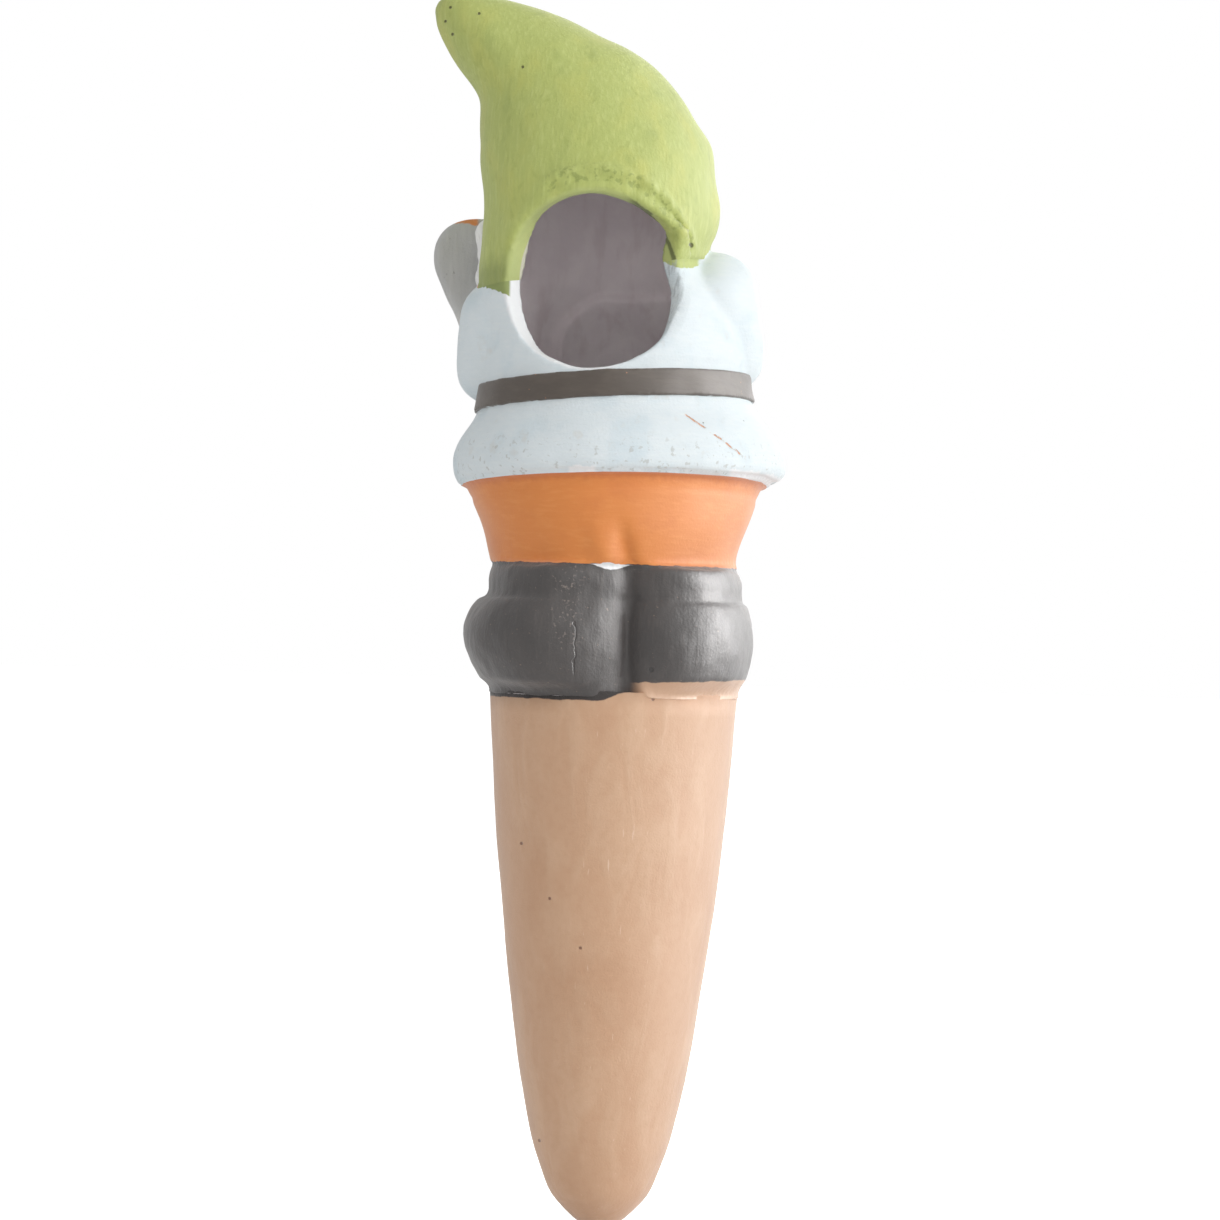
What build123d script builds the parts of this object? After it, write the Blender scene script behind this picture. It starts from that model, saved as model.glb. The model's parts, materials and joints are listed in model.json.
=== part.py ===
from build123d import *
import math
import os

# A hollow terracotta watering spike with a garden gnome standing on a bare clay cone.
# Millimetres. The origin is on the cone's axis at the soil line, where the cone ends and the boots begin.
# +Z is up, the gnome faces -Y, its left hand is on +X, and the fill hole opens at its back, towards +Y.
# The real object is one fired body: each node here is one section or one applied piece of clay, and every
# piece meets its neighbours face to face, as pieces do that are joined with slip.

os.makedirs("parts", exist_ok=True)

# Driving dimensions: the cone
SPIKE_LENGTH = 92.6
SPIKE_RADIUS = 21.35
SPIKE_WALL = 4.0
TIP_WALL = 7.0
NECK_SHOULDER = 4.3
NECK_WALL = 3.4
NECK_RISE = 2.6
FIT_CLEARANCE = 0.15

# Driving dimensions: heights of the figure, from the soil line up
BOOT_HEIGHT = 15.4
CUFF_HEIGHT = 6.0
TROUSERS_HEIGHT = 13.7
SKIRT_HEIGHT = 15.9
TORSO_HEIGHT = 21.1
HAT_HEIGHT = 46.8

# Driving dimensions: widths of the figure
FIGURE_WALL = 3.6
LEFT_BOOT_BULGE = 4.7
RIGHT_BOOT_BULGE = 2.4
BOOT_BACK_BULGE = 1.9
BOOT_CLEFT_OFFSET = 2.2
TOE_LENGTH = 31.0
TOE_RADIUS = 8.8
CUFF_BULGE = 0.9
TROUSERS_FLARE = 5.0
SEAT_GROOVE_DEPTH = 1.6
SEAT_GROOVE_RADIUS = 3.4
SKIRT_FLARE = 7.25
WAIST_SIDE_FLARE = 3.05
WAIST_BACK_FLARE = 0.65
BELT_WIDTH = 4.6
BELT_THICKNESS = 0.7
HEAD_OFFSET = 4.5
HEAD_SIDE_STEP = 4.1
HEAD_BACK_STEP = 4.0
BRIM_STEP = 1.0

# Driving dimensions: the fill hole in the back of the hat and coat
HOLE_WIDTH = 28.8
HOLE_HEIGHT = 29.7
HOLE_DROP = 2.7
HOLE_OFFSET = 5.7

# Driving dimensions: limbs and spade
LEFT_ARM_RADIUS = 7.3
RIGHT_ARM_RADIUS = 7.5
SLEEVE_CUFF_LENGTH = 3.2
SLEEVE_CUFF_STEP = 0.7
HAND_RADIUS = 4.8
BUCKLE_WIDTH = 9.5
BUCKLE_HEIGHT = 7.0
BUCKLE_THICKNESS = 1.5
BLADE_WIDTH = 16.0
BLADE_HEIGHT = 19.5
BLADE_THICKNESS = 3.6
SHAFT_RADIUS = 2.2
GRIP_LENGTH = 10.0
GRIP_RADIUS = 2.4

# Angles in degrees
HEM_PITCH = 4.3
HEM_ROLL = 1.5
BELT_PITCH = 2.6
BELT_ROLL = 3.6
SEAM_ROLL = 8.9
BRIM_PITCH = 43.4

# Worked out from the driving dimensions
NECK_RADIUS = SPIKE_RADIUS - NECK_SHOULDER
BORE_RADIUS = NECK_RADIUS - NECK_WALL
SOCKET_RADIUS = NECK_RADIUS + FIT_CLEARANCE
TROUSERS_LEVEL = BOOT_HEIGHT + CUFF_HEIGHT
HEM_LEVEL = TROUSERS_LEVEL + TROUSERS_HEIGHT
BELT_LEVEL = HEM_LEVEL + SKIRT_HEIGHT
SEAM_LEVEL = BELT_LEVEL + TORSO_HEIGHT
WAIST_WIDTH = SPIKE_RADIUS + WAIST_SIDE_FLARE
WAIST_DEPTH = SPIKE_RADIUS + WAIST_BACK_FLARE
HEAD_WIDTH = WAIST_WIDTH - HEAD_SIDE_STEP
HEAD_DEPTH = WAIST_DEPTH - HEAD_BACK_STEP
FACE_HEIGHT = HEAD_DEPTH * math.tan(math.radians(BRIM_PITCH)) - BRIM_STEP
SKIRT_REACH = SPIKE_RADIUS + SKIRT_FLARE
OVERRUN = SPIKE_WALL

SECTION_POINTS = 8

# Outlines, chosen by hand. Cone: depth below the soil line as a share of its length, radius as a share of
# its radius.
cone_shares = [
    (0, 1),
    (0.2, 0.94),
    (0.4, 0.857),
    (0.58, 0.763),
    (0.76, 0.63),
    (0.88, 0.49),
    (0.95, 0.34),
    (1, 0),
]

# Boots and cuffs: height, then how much of the bulge past the cone's radius shows at that height
boot_shares = [(0, 0.1), (0.27, 0.7), (0.55, 1), (0.8, 0.87), (1, 0.42)]
cuff_shares = [(0, 0.85, 0.25), (0.4, 1, 0.45), (0.8, 0.75, -0.1), (1, 0.1, -0.8)]

# One boot seen from above: across from the cleft to the outer side, and how far back or forward
half_ring_shares = [(0, 0.8), (0.09, 0.93), (0.32, 1), (0.62, 0.94), (0.86, 0.68), (1, 0)]

# Trousers: height, then the share of the flare on the left, right, front and back
trousers_shares = [
    (-0.06, -0.04, -0.19, 0, -0.05),
    (0.28, 0.27, -0.06, 0.2, 0.2),
    (0.53, 0.5, 0.19, 0.35, 0.3),
    (0.78, 0.8, 0.4, 0.5, 0.28),
    (1.1, 1.05, 0.68, 0.62, 0.22),
]

# Coat below the belt: height, then the share of the flare on the left, right, front and back
skirt_shares = [
    (-0.22, 0.68, 0.55, 0.4, 0.1),
    (0.01, 0.95, 0.82, 0.6, 0.36),
    (0.23, 1, 1, 0.7, 0.5),
    (0.45, 0.87, 0.86, 0.63, 0.42),
    (0.66, 0.58, 0.55, 0.45, 0.2),
]

# Coat above the belt: height, then reaches as shares of the waist's width and depth
torso_shares = [
    (-0.15, 1.01, 0.97, 1.06, 0.97),
    (0, 0.995, 0.9, 1.05, 0.955),
    (0.14, 0.985, 0.885, 1.05, 0.945),
    (0.3, 0.98, 0.875, 1.04, 0.93),
    (0.55, 1, 0.82, 0.97, 0.91),
    (0.81, 1.04, 0.69, 0.85, 0.87),
]

# Hat and head: height, then reaches from the middle of the head as shares of the head's width and depth.
# A right share below zero means that the bent tip has passed the middle.
hat_shares = [
    (0.04, 1.02, 0.88, 1, 1.02),
    (0.13, 1.005, 0.955, 1, 1.02),
    (0.22, 1, 1, 1, 1),
    (0.32, 1.02, 0.975, 0.99, 0.98),
    (0.43, 1.03, 0.93, 0.92, 0.9),
    (0.53, 1.035, 0.8, 0.84, 0.82),
    (0.62, 1.045, 0.66, 0.74, 0.71),
    (0.7, 1.15, 0.51, 0.65, 0.62),
    (0.775, 1.28, 0.31, 0.56, 0.54),
    (0.842, 1.385, 0.03, 0.475, 0.46),
    (0.917, 1.445, -0.33, 0.36, 0.35),
    (0.978, 1.415, -0.8, 0.22, 0.22),
    (1, 1.31, -0.96, 0.1, 0.1),
]
CHAMBER_ROWS = 7

# Fill hole: distance out from the middle of the head, then half width and half height
hole_shares = [(0.25, 0.45, 0.9), (0.57, 0.82, 0.96), (0.7, 1, 0.985), (1.05, 1.12, 1), (1.5, 1.2, 1.02)]

# Toe of a boot: height of its middle, and how it starts inside the boot, as shares of its radius and length
toe_rise_share = 0.35
toe_start_share = 0.4
toe_tip_share = 0.87

# Groove in the seat of the trousers: half height as a share of the trousers, depth behind the cone's radius
groove_height_share = 0.7
seat_share = 0.25

# Places on the figure. Arms: across and forward of the waist's width and depth, and up from belt to hat seam
left_shoulder_share = (0.87, 0, 0.57)
left_elbow_share = (0.92, 0.1, 0.19)
right_shoulder_share = (-0.635, 0, 0.82)
right_elbow_share = (-0.735, 0.05, 0.35)
right_hand_share = (-0.3, 1.12, 0.4)
blade_foot_share = (1.045, 0.636, 0.52)
buckle_share = (0.05, 1.05, -0.05)

# The same for the spade's grip, across and forward of the skirt's reach, and up the skirt from its hem
grip_share = (0.6, 0.8, -0.05)
hand_on_shaft_share = 0.2

# Face: how round each piece is, as a share of the head's depth
face_radius_share = 0.889
nose_radius_share = 0.178
eye_radius_share = 0.089
brow_radius_share = 0.0695
moustache_radius_share = 0.128
beard_radius_share = 0.667
hair_radius_share = 0.161

FACE_RADIUS = face_radius_share * HEAD_DEPTH
NOSE_RADIUS = nose_radius_share * HEAD_DEPTH
EYE_RADIUS = eye_radius_share * HEAD_DEPTH
BROW_RADIUS = brow_radius_share * HEAD_DEPTH
MOUSTACHE_RADIUS = moustache_radius_share * HEAD_DEPTH
BEARD_RADIUS = beard_radius_share * HEAD_DEPTH
HAIR_RADIUS = hair_radius_share * HEAD_DEPTH

# Face: across from the middle of the head, forward of the head's depth, up from the seam to the brim
face_share = (0, 0.25, 0.28)
nose_share = (0, 1.12, 0.36)
eye_share = (0.27, 1.04, 0.58)
brow_inner_share = (0.16, 1.0, 0.76)
brow_outer_share = (0.41, 0.9, 0.73)
moustache_inner_share = (0.09, 1.15, 0.16)
moustache_outer_share = (0.45, 0.98, 0.01)
beard_share = (0, 0.7, -0.38)
beard_tip_share = (0, 1.2, -1)
left_hair_top_share = (0.905, 0.47, 0.4)
left_hair_foot_share = (0.9, 0.55, -0.1)
right_hair_top_share = (-0.79, 0.5, 0.42)
right_hair_foot_share = (-0.74, 0.56, -0.05)

# How rounded pieces narrow from one end to the other, as shares of their radius
elbow_radius_share = 0.9
forearm_radius_share = 0.86
wrist_radius_share = 0.66
beard_tip_radius_share = 0.23
moustache_tip_radius_share = 0.5
brow_tip_radius_share = 0.72
hair_foot_radius_share = 0.97

# Where each sleeve ends, from the elbow to the hand
left_wrist_share = 0.55
right_wrist_share = 0.75

# Spade blade: height above its foot, then half width, of its own height and width
blade_shares = [(0, 0.2), (0.3, 0.36), (0.55, 0.49), (0.75, 0.49), (0.92, 0.36), (1, 0)]

# Rounding: the buckle's corners as a share of its height, the blade's edge as a share of its thickness
buckle_corner_share = 0.2
blade_edge_share = 0.33


def outline(level, left, right, front, back, margin=0.0):
    """A smooth closed outline at a height, from its reach on each side of the axis."""
    middle_x = (left - right) / 2
    middle_y = (back - front) / 2
    half_x = (left + right) / 2 + margin
    half_y = (front + back) / 2 + margin
    points = []
    for step in range(SECTION_POINTS):
        angle = 2 * math.pi * step / SECTION_POINTS
        points.append((middle_x + half_x * math.cos(angle), middle_y + half_y * math.sin(angle), level))
    return Face(Wire(Spline(*points, periodic=True)))


def form(rows, margin=0.0):
    """A smooth solid through outlines at rising heights."""
    return loft([outline(*row, margin) for row in rows])


def tilted(level, pitch=0.0, roll=0.0):
    """A plane at a height on the axis: pitch lifts its back edge, roll lowers its left edge."""
    return Plane.XY.offset(level).rotated((pitch, roll, 0))


def above(shape, plane):
    return split(shape, bisect_by=plane, keep=Keep.TOP)


def below(shape, plane):
    return split(shape, bisect_by=plane, keep=Keep.BOTTOM)


def ball(place, radius):
    return Pos(*place) * Sphere(radius)


def capsule(start, start_radius, end, end_radius):
    """Two balls and the cone that touches both."""
    axis = Vector(*end) - Vector(*start)
    lean = math.asin((start_radius - end_radius) / axis.length)
    start_touch = (start_radius * math.cos(lean), start_radius * math.sin(lean))
    end_touch = (end_radius * math.cos(lean), axis.length + end_radius * math.sin(lean))
    start_pole = (0, -start_radius)
    end_pole = (0, axis.length + end_radius)
    half = lean / 2
    start_mid = (start_radius * math.cos(half - math.pi / 4), start_radius * math.sin(half - math.pi / 4))
    end_mid = (
        end_radius * math.cos(half + math.pi / 4),
        axis.length + end_radius * math.sin(half + math.pi / 4),
    )
    side = Wire(
        [
            ThreePointArc(start_pole, start_mid, start_touch),
            Line(start_touch, end_touch),
            ThreePointArc(end_touch, end_mid, end_pole),
            Line(end_pole, start_pole),
        ]
    )
    solid = revolve(Face(side), Axis.Y)
    return Plane(start, z_dir=axis) * Rot(90, 0, 0) * solid


def rod(start, end, radius):
    axis = Vector(*end) - Vector(*start)
    return Plane(start, z_dir=axis) * upright(radius, axis.length)


def upright(radius, height):
    return Cylinder(radius, height, align=(Align.CENTER, Align.CENTER, Align.MIN))


def between(start, end, share):
    return Vector(*start) + (Vector(*end) - Vector(*start)) * share


def minus(shape, *neighbours):
    """An applied piece, shaped to the faces of the pieces that it is luted to."""
    for neighbour in neighbours:
        shape = shape - neighbour
    return shape


def flared_rows(shares, level, height, flare):
    """Outlines that stand out from the cone's radius by shares of a flare."""
    rows = []
    for up, *reaches in shares:
        rows.append((level + up * height, *[SPIKE_RADIUS + reach * flare for reach in reaches]))
    return rows


def trousers_rows():
    return flared_rows(trousers_shares, TROUSERS_LEVEL, TROUSERS_HEIGHT, TROUSERS_FLARE)


def skirt_rows():
    return flared_rows(skirt_shares, HEM_LEVEL, SKIRT_HEIGHT, SKIRT_FLARE)


def torso_rows():
    rows = []
    for up, left, right, front, back in torso_shares:
        level = BELT_LEVEL + up * TORSO_HEIGHT
        left_reach = left * WAIST_WIDTH
        right_reach = right * WAIST_WIDTH
        rows.append((level, left_reach, right_reach, front * WAIST_DEPTH, back * WAIST_DEPTH))
    return rows


def hat_rows():
    rows = []
    for up, left, right, front, back in hat_shares:
        level = SEAM_LEVEL + up * HAT_HEIGHT
        left_reach = HEAD_OFFSET + left * HEAD_WIDTH
        right_reach = right * HEAD_WIDTH - HEAD_OFFSET
        rows.append((level, left_reach, right_reach, front * HEAD_DEPTH, back * HEAD_DEPTH))
    return rows


def coat_and_hat(margin=0.0):
    """The figure from the coat's hem to the tip of the hat, as one smooth solid."""
    return form(skirt_rows() + torso_rows() + hat_rows(), margin)


def chamber():
    """The water chamber from the hem to the roof of the hat."""
    lower = trousers_rows()[-2:] + skirt_rows()[2:]
    return form(lower + torso_rows() + hat_rows()[:CHAMBER_ROWS], -FIGURE_WALL)


def on_torso(share):
    across, forward, up = share
    return Vector(across * WAIST_WIDTH, -forward * WAIST_DEPTH, BELT_LEVEL + up * TORSO_HEIGHT)


def on_skirt(share):
    across, forward, up = share
    return Vector(across * SKIRT_REACH, -forward * SKIRT_REACH, HEM_LEVEL + up * SKIRT_HEIGHT)


def on_head(share, side=1):
    across, forward, up = share
    x = HEAD_OFFSET + side * across * HEAD_WIDTH
    return Vector(x, -forward * HEAD_DEPTH, SEAM_LEVEL + up * FACE_HEIGHT)


def spike():
    """The bare cone: a closed tip, an even wall, a shoulder for the boots and a neck for the trousers."""
    outside = [(radius * SPIKE_RADIUS, -depth * SPIKE_LENGTH) for depth, radius in cone_shares]
    bore_length = SPIKE_LENGTH - SPIKE_WALL - TIP_WALL
    bore_radius = SPIKE_RADIUS - SPIKE_WALL
    inside = [(radius * bore_radius, -SPIKE_WALL - depth * bore_length) for depth, radius in cone_shares]
    neck_height = TROUSERS_LEVEL + NECK_RISE
    body = turned(outside) + Pos(0, 0, -SPIKE_WALL) * upright(NECK_RADIUS, neck_height + SPIKE_WALL)
    bore_start = -SPIKE_WALL - OVERRUN
    bore = Pos(0, 0, bore_start) * upright(BORE_RADIUS, neck_height + OVERRUN - bore_start)
    return body - turned(inside) - bore


def turned(points):
    """A solid of revolution with a flat top and a round tip."""
    places = [(radius, 0, level) for radius, level in points]
    curve = Spline(*places, tangents=[(0, 0, -1), (-1, 0, 0)])
    top = (0, 0, places[0][2])
    return revolve(Face(Wire([curve, Line(curve @ 1, top), Line(top, curve @ 0)])), Axis.Z)


def socket():
    """What the cone's neck takes up inside the boots, cuffs and trousers."""
    start = -OVERRUN
    return Pos(0, 0, start) * upright(SOCKET_RADIUS, TROUSERS_LEVEL + NECK_RISE + FIT_CLEARANCE - start)


def half_ring(level, side, reach, depth):
    """One boot's outline at a height: a bulging half ring that ends flat at the cleft."""
    span = side * reach + BOOT_CLEFT_OFFSET
    back_points = []
    front_points = []
    for across, along in half_ring_shares:
        x = across * span - BOOT_CLEFT_OFFSET
        back_points.append((x, along * depth, level))
        front_points.append((x, -along * depth, level))
    curve = Spline(*back_points, *reversed(front_points[:-1]))
    return Face(Wire([curve, Line(curve @ 1, curve @ 0)]))


def boot(side, bulge):
    """A boot round the neck: it swells past the cone, and its toe reaches forward over the soil."""
    sections = []
    for up, out in boot_shares:
        reach = SPIKE_RADIUS + out * bulge
        sections.append(half_ring(up * BOOT_HEIGHT, side, reach, SPIKE_RADIUS + out * BOOT_BACK_BULGE))
    middle = side * (SPIKE_RADIUS + bulge) / 2 - BOOT_CLEFT_OFFSET / 2
    rise = toe_rise_share * BOOT_HEIGHT
    tip_radius = toe_tip_share * TOE_RADIUS
    toe_start = (middle, -toe_start_share * TOE_LENGTH, rise)
    toe = capsule(toe_start, TOE_RADIUS, (middle, tip_radius - TOE_LENGTH, rise), tip_radius)
    return above(loft(sections) + toe, Plane.XY) - socket()


def boot_cuff(side):
    """The turned-down band round the top of a boot."""
    sections = []
    for up, left, right in cuff_shares:
        out = left if side > 0 else right
        level = BOOT_HEIGHT + up * CUFF_HEIGHT
        reach = SPIKE_RADIUS + out * CUFF_BULGE
        depth = SPIKE_RADIUS + left * CUFF_BULGE
        sections.append(half_ring(level, side, reach, depth))
    return loft(sections) - socket()


def trousers():
    """Tapered trousers with a groove down the seat, closed round the neck and open to the coat above."""
    seat = SPIKE_RADIUS + seat_share * TROUSERS_FLARE
    groove_foot = (0, seat + SEAT_GROOVE_RADIUS - SEAT_GROOVE_DEPTH, TROUSERS_LEVEL)
    groove_top = (0, seat + SEAT_GROOVE_RADIUS, TROUSERS_LEVEL + groove_height_share * TROUSERS_HEIGHT)
    groove = capsule(groove_foot, SEAT_GROOVE_RADIUS, groove_top, SEAT_GROOVE_RADIUS - SEAT_GROOVE_DEPTH)
    body = below(above(form(trousers_rows()), Plane.XY.offset(TROUSERS_LEVEL)), hem_plane())
    return body - form(trousers_rows(), -FIGURE_WALL) - socket() - groove


def hem_plane():
    return tilted(HEM_LEVEL, HEM_PITCH, HEM_ROLL)


def belt_plane():
    return tilted(BELT_LEVEL, BELT_PITCH, BELT_ROLL)


def seam_plane():
    return tilted(SEAM_LEVEL, 0, SEAM_ROLL)


def brim_plane():
    """From the forehead down and back past the temples to the shoulders."""
    return tilted(SEAM_LEVEL - BRIM_STEP, -BRIM_PITCH)


def fill_hole():
    """The cutter for the hole: it narrows towards the axis, so that the rim is square to the wall."""
    sections = []
    for out, across, up in hole_shares:
        place = (HOLE_OFFSET, out * HEAD_DEPTH, SEAM_LEVEL - HOLE_DROP)
        plane = Plane(place, x_dir=(1, 0, 0), z_dir=(0, 1, 0))
        half_x = across * HOLE_WIDTH / 2
        half_z = up * HOLE_HEIGHT / 2
        sections.append(plane * outline(0, half_x, half_x, half_z, half_z))
    return loft(sections)


def belt(body):
    """A band round the waist that hides the seam between the skirt and the coat above it."""
    band = above(form(skirt_rows() + torso_rows(), BELT_THICKNESS), belt_plane().offset(-BELT_WIDTH / 2))
    return below(band, belt_plane().offset(BELT_WIDTH / 2)) - body


def head_block():
    """The head in front of the hat's brim, still solid: the skull, and the face that swells out of it."""
    skull = form(torso_rows()[-2:] + hat_rows()[:CHAMBER_ROWS], -BRIM_STEP)
    face = ball(on_head(face_share), FACE_RADIUS)
    return above(below(skull + face, brim_plane()), seam_plane())


def eyebrow(side):
    inner = on_head(brow_inner_share, side)
    return capsule(inner, BROW_RADIUS, on_head(brow_outer_share, side), brow_tip_radius_share * BROW_RADIUS)


def moustache():
    """Two drooping lobes that meet under the nose."""
    lobes = []
    for side in (-1, 1):
        inner = on_head(moustache_inner_share, side)
        outer = on_head(moustache_outer_share, side)
        lobes.append(capsule(inner, MOUSTACHE_RADIUS, outer, moustache_tip_radius_share * MOUSTACHE_RADIUS))
    return lobes[0] + lobes[1]


def beard():
    tip_radius = beard_tip_radius_share * BEARD_RADIUS
    return capsule(on_head(beard_share), BEARD_RADIUS, on_head(beard_tip_share), tip_radius)


def hair(top_share, foot_share):
    foot_radius = hair_foot_radius_share * HAIR_RADIUS
    return capsule(on_head(top_share), HAIR_RADIUS, on_head(foot_share), foot_radius)


def sleeve(shoulder, elbow, wrist, radius):
    upper = capsule(shoulder, radius, elbow, elbow_radius_share * radius)
    lower = capsule(elbow, forearm_radius_share * radius, wrist, wrist_radius_share * radius)
    return upper + below(lower, Plane(wrist, z_dir=wrist - elbow))


def sleeve_cuff(elbow, wrist, radius):
    """A band round the end of a sleeve, closed in front except where the hand comes out."""
    half = (wrist - elbow).normalized() * (SLEEVE_CUFF_LENGTH / 2)
    return rod(wrist - half, wrist + half, wrist_radius_share * radius + SLEEVE_CUFF_STEP)


def buckle():
    place = on_torso(buckle_share)
    front = BELT_THICKNESS + BUCKLE_THICKNESS
    block = Box(BUCKLE_WIDTH, 2 * front, BUCKLE_HEIGHT)
    block = fillet(block.edges().filter_by(Axis.Y), buckle_corner_share * BUCKLE_HEIGHT)
    return Pos(*place) * Rot(0, BELT_ROLL, 0) * block


def spade_blade(foot):
    """A rounded blade standing on edge beside the hat, with its back to the hair."""
    left_side = []
    right_side = []
    for up, across in blade_shares:
        left_side.append((-across * BLADE_WIDTH, up * BLADE_HEIGHT))
        right_side.append((across * BLADE_WIDTH, up * BLADE_HEIGHT))
    curve = Spline(*left_side, *reversed(right_side[:-1]))
    face = Face(Wire([curve, Line(curve @ 1, curve @ 0)]))
    blade = extrude(face, BLADE_THICKNESS / 2, both=True)
    blade = fillet(blade.faces().filter_by(Axis.Z).edges(), blade_edge_share * BLADE_THICKNESS)
    return Pos(*foot) * Rot(90, 0, 0) * blade


# Places on the arms and the spade
blade_foot = on_torso(blade_foot_share)
grip_place = on_skirt(grip_share)
left_shoulder = on_torso(left_shoulder_share)
left_elbow = on_torso(left_elbow_share)
left_palm = between(blade_foot, grip_place, hand_on_shaft_share)
left_wrist = between(left_elbow, left_palm, left_wrist_share)
right_shoulder = on_torso(right_shoulder_share)
right_elbow = on_torso(right_elbow_share)
right_palm = on_torso(right_hand_share)
right_wrist = between(right_elbow, right_palm, right_wrist_share)

# Filled shapes that the pieces are cut from and shaped against
body = coat_and_hat()
inside = chamber()
hole = fill_hole()
head_filled = head_block()
pieces = {}

pieces["spike"] = spike()
pieces["left_boot"] = boot(1, LEFT_BOOT_BULGE)
pieces["right_boot"] = boot(-1, RIGHT_BOOT_BULGE)
pieces["left_boot_cuff"] = boot_cuff(1)
pieces["right_boot_cuff"] = boot_cuff(-1)
pieces["trousers"] = trousers()

skirt_filled = below(above(body, hem_plane()), belt_plane())
torso_filled = below(above(body, belt_plane()), seam_plane())
hat_filled = above(above(body, seam_plane()), brim_plane())
shell = body - inside - hole
pieces["coat_skirt"] = below(above(shell, hem_plane()), belt_plane())
pieces["coat_torso"] = below(above(shell, belt_plane()), seam_plane())
pieces["hat"] = above(above(shell, seam_plane()), brim_plane())
pieces["head"] = head_filled - inside
pieces["belt"] = belt(body)
pieces["belt_buckle"] = minus(buckle(), body, pieces["belt"])

pieces["nose"] = ball(on_head(nose_share), NOSE_RADIUS) - head_filled
pieces["left_eye"] = ball(on_head(eye_share, 1), EYE_RADIUS) - head_filled
pieces["right_eye"] = ball(on_head(eye_share, -1), EYE_RADIUS) - head_filled
pieces["left_eyebrow"] = eyebrow(1) - head_filled
pieces["right_eyebrow"] = eyebrow(-1) - head_filled
pieces["beard"] = minus(beard(), head_filled, torso_filled, pieces["nose"], pieces["belt_buckle"])
pieces["moustache"] = minus(moustache(), head_filled, pieces["nose"], pieces["beard"])

pieces["spade_grip"] = rod(
    grip_place - Vector(GRIP_LENGTH / 2, 0, 0), grip_place + Vector(GRIP_LENGTH / 2, 0, 0), GRIP_RADIUS
)
pieces["spade_grip"] = minus(pieces["spade_grip"], skirt_filled, pieces["trousers"])
shaft_top = blade_foot + Vector(0, 0, SHAFT_RADIUS)
pieces["spade_shaft"] = minus(rod(grip_place, shaft_top, SHAFT_RADIUS), skirt_filled, pieces["spade_grip"])
pieces["spade_blade"] = minus(spade_blade(blade_foot), pieces["spade_shaft"], head_filled, torso_filled)

for side, shoulder, elbow, wrist, palm, radius in (
    ("left", left_shoulder, left_elbow, left_wrist, left_palm, LEFT_ARM_RADIUS),
    ("right", right_shoulder, right_elbow, right_wrist, right_palm, RIGHT_ARM_RADIUS),
):
    arm = sleeve(shoulder, elbow, wrist, radius)
    cuff = sleeve_cuff(elbow, wrist, radius)
    carried = pieces["spade_shaft"] if side == "left" else pieces["beard"]
    pieces[side + "_sleeve"] = minus(arm, body, pieces["belt"])
    pieces[side + "_sleeve_cuff"] = minus(cuff, arm, torso_filled, pieces["belt"], carried)
    pieces[side + "_hand"] = minus(ball(palm, HAND_RADIUS), arm, cuff, torso_filled, pieces["belt"], carried)

left_hair = hair(left_hair_top_share, left_hair_foot_share)
right_hair = hair(right_hair_top_share, right_hair_foot_share)
pieces["left_hair"] = minus(left_hair, head_filled, hat_filled, torso_filled, pieces["spade_blade"])
pieces["right_hair"] = minus(right_hair, head_filled, hat_filled, torso_filled, pieces["right_sleeve"])

for name, shape in pieces.items():
    export_step(shape, f"parts/{name}.step")
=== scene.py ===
# %% [markdown]
# # A gnome watering spike in painted terracotta
# The real object is a hollow clay body, cast in a plaster mould, fired once and painted by hand. The bare cone
# goes into the soil. Water is poured in through the large hole at the figure's back and seeps out of the cone.
#
# In Blender the simple way would be to colour the CAD solids, but they have the sharp, even look of machined
# parts. Here each piece is worked as a potter works clay: a copy is wetted and smoothed, pressed with the
# fingers, joined to its neighbours with a soft fillet, and then painted with procedural brush marks.
# All pieces are shaped in millimetres and are scaled into the frame's metres at the end.

# %% Load the frame
import json
import math
import bpy
import bmesh
from mathutils import Matrix, Vector, noise
from mathutils.bvhtree import BVHTree

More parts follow.
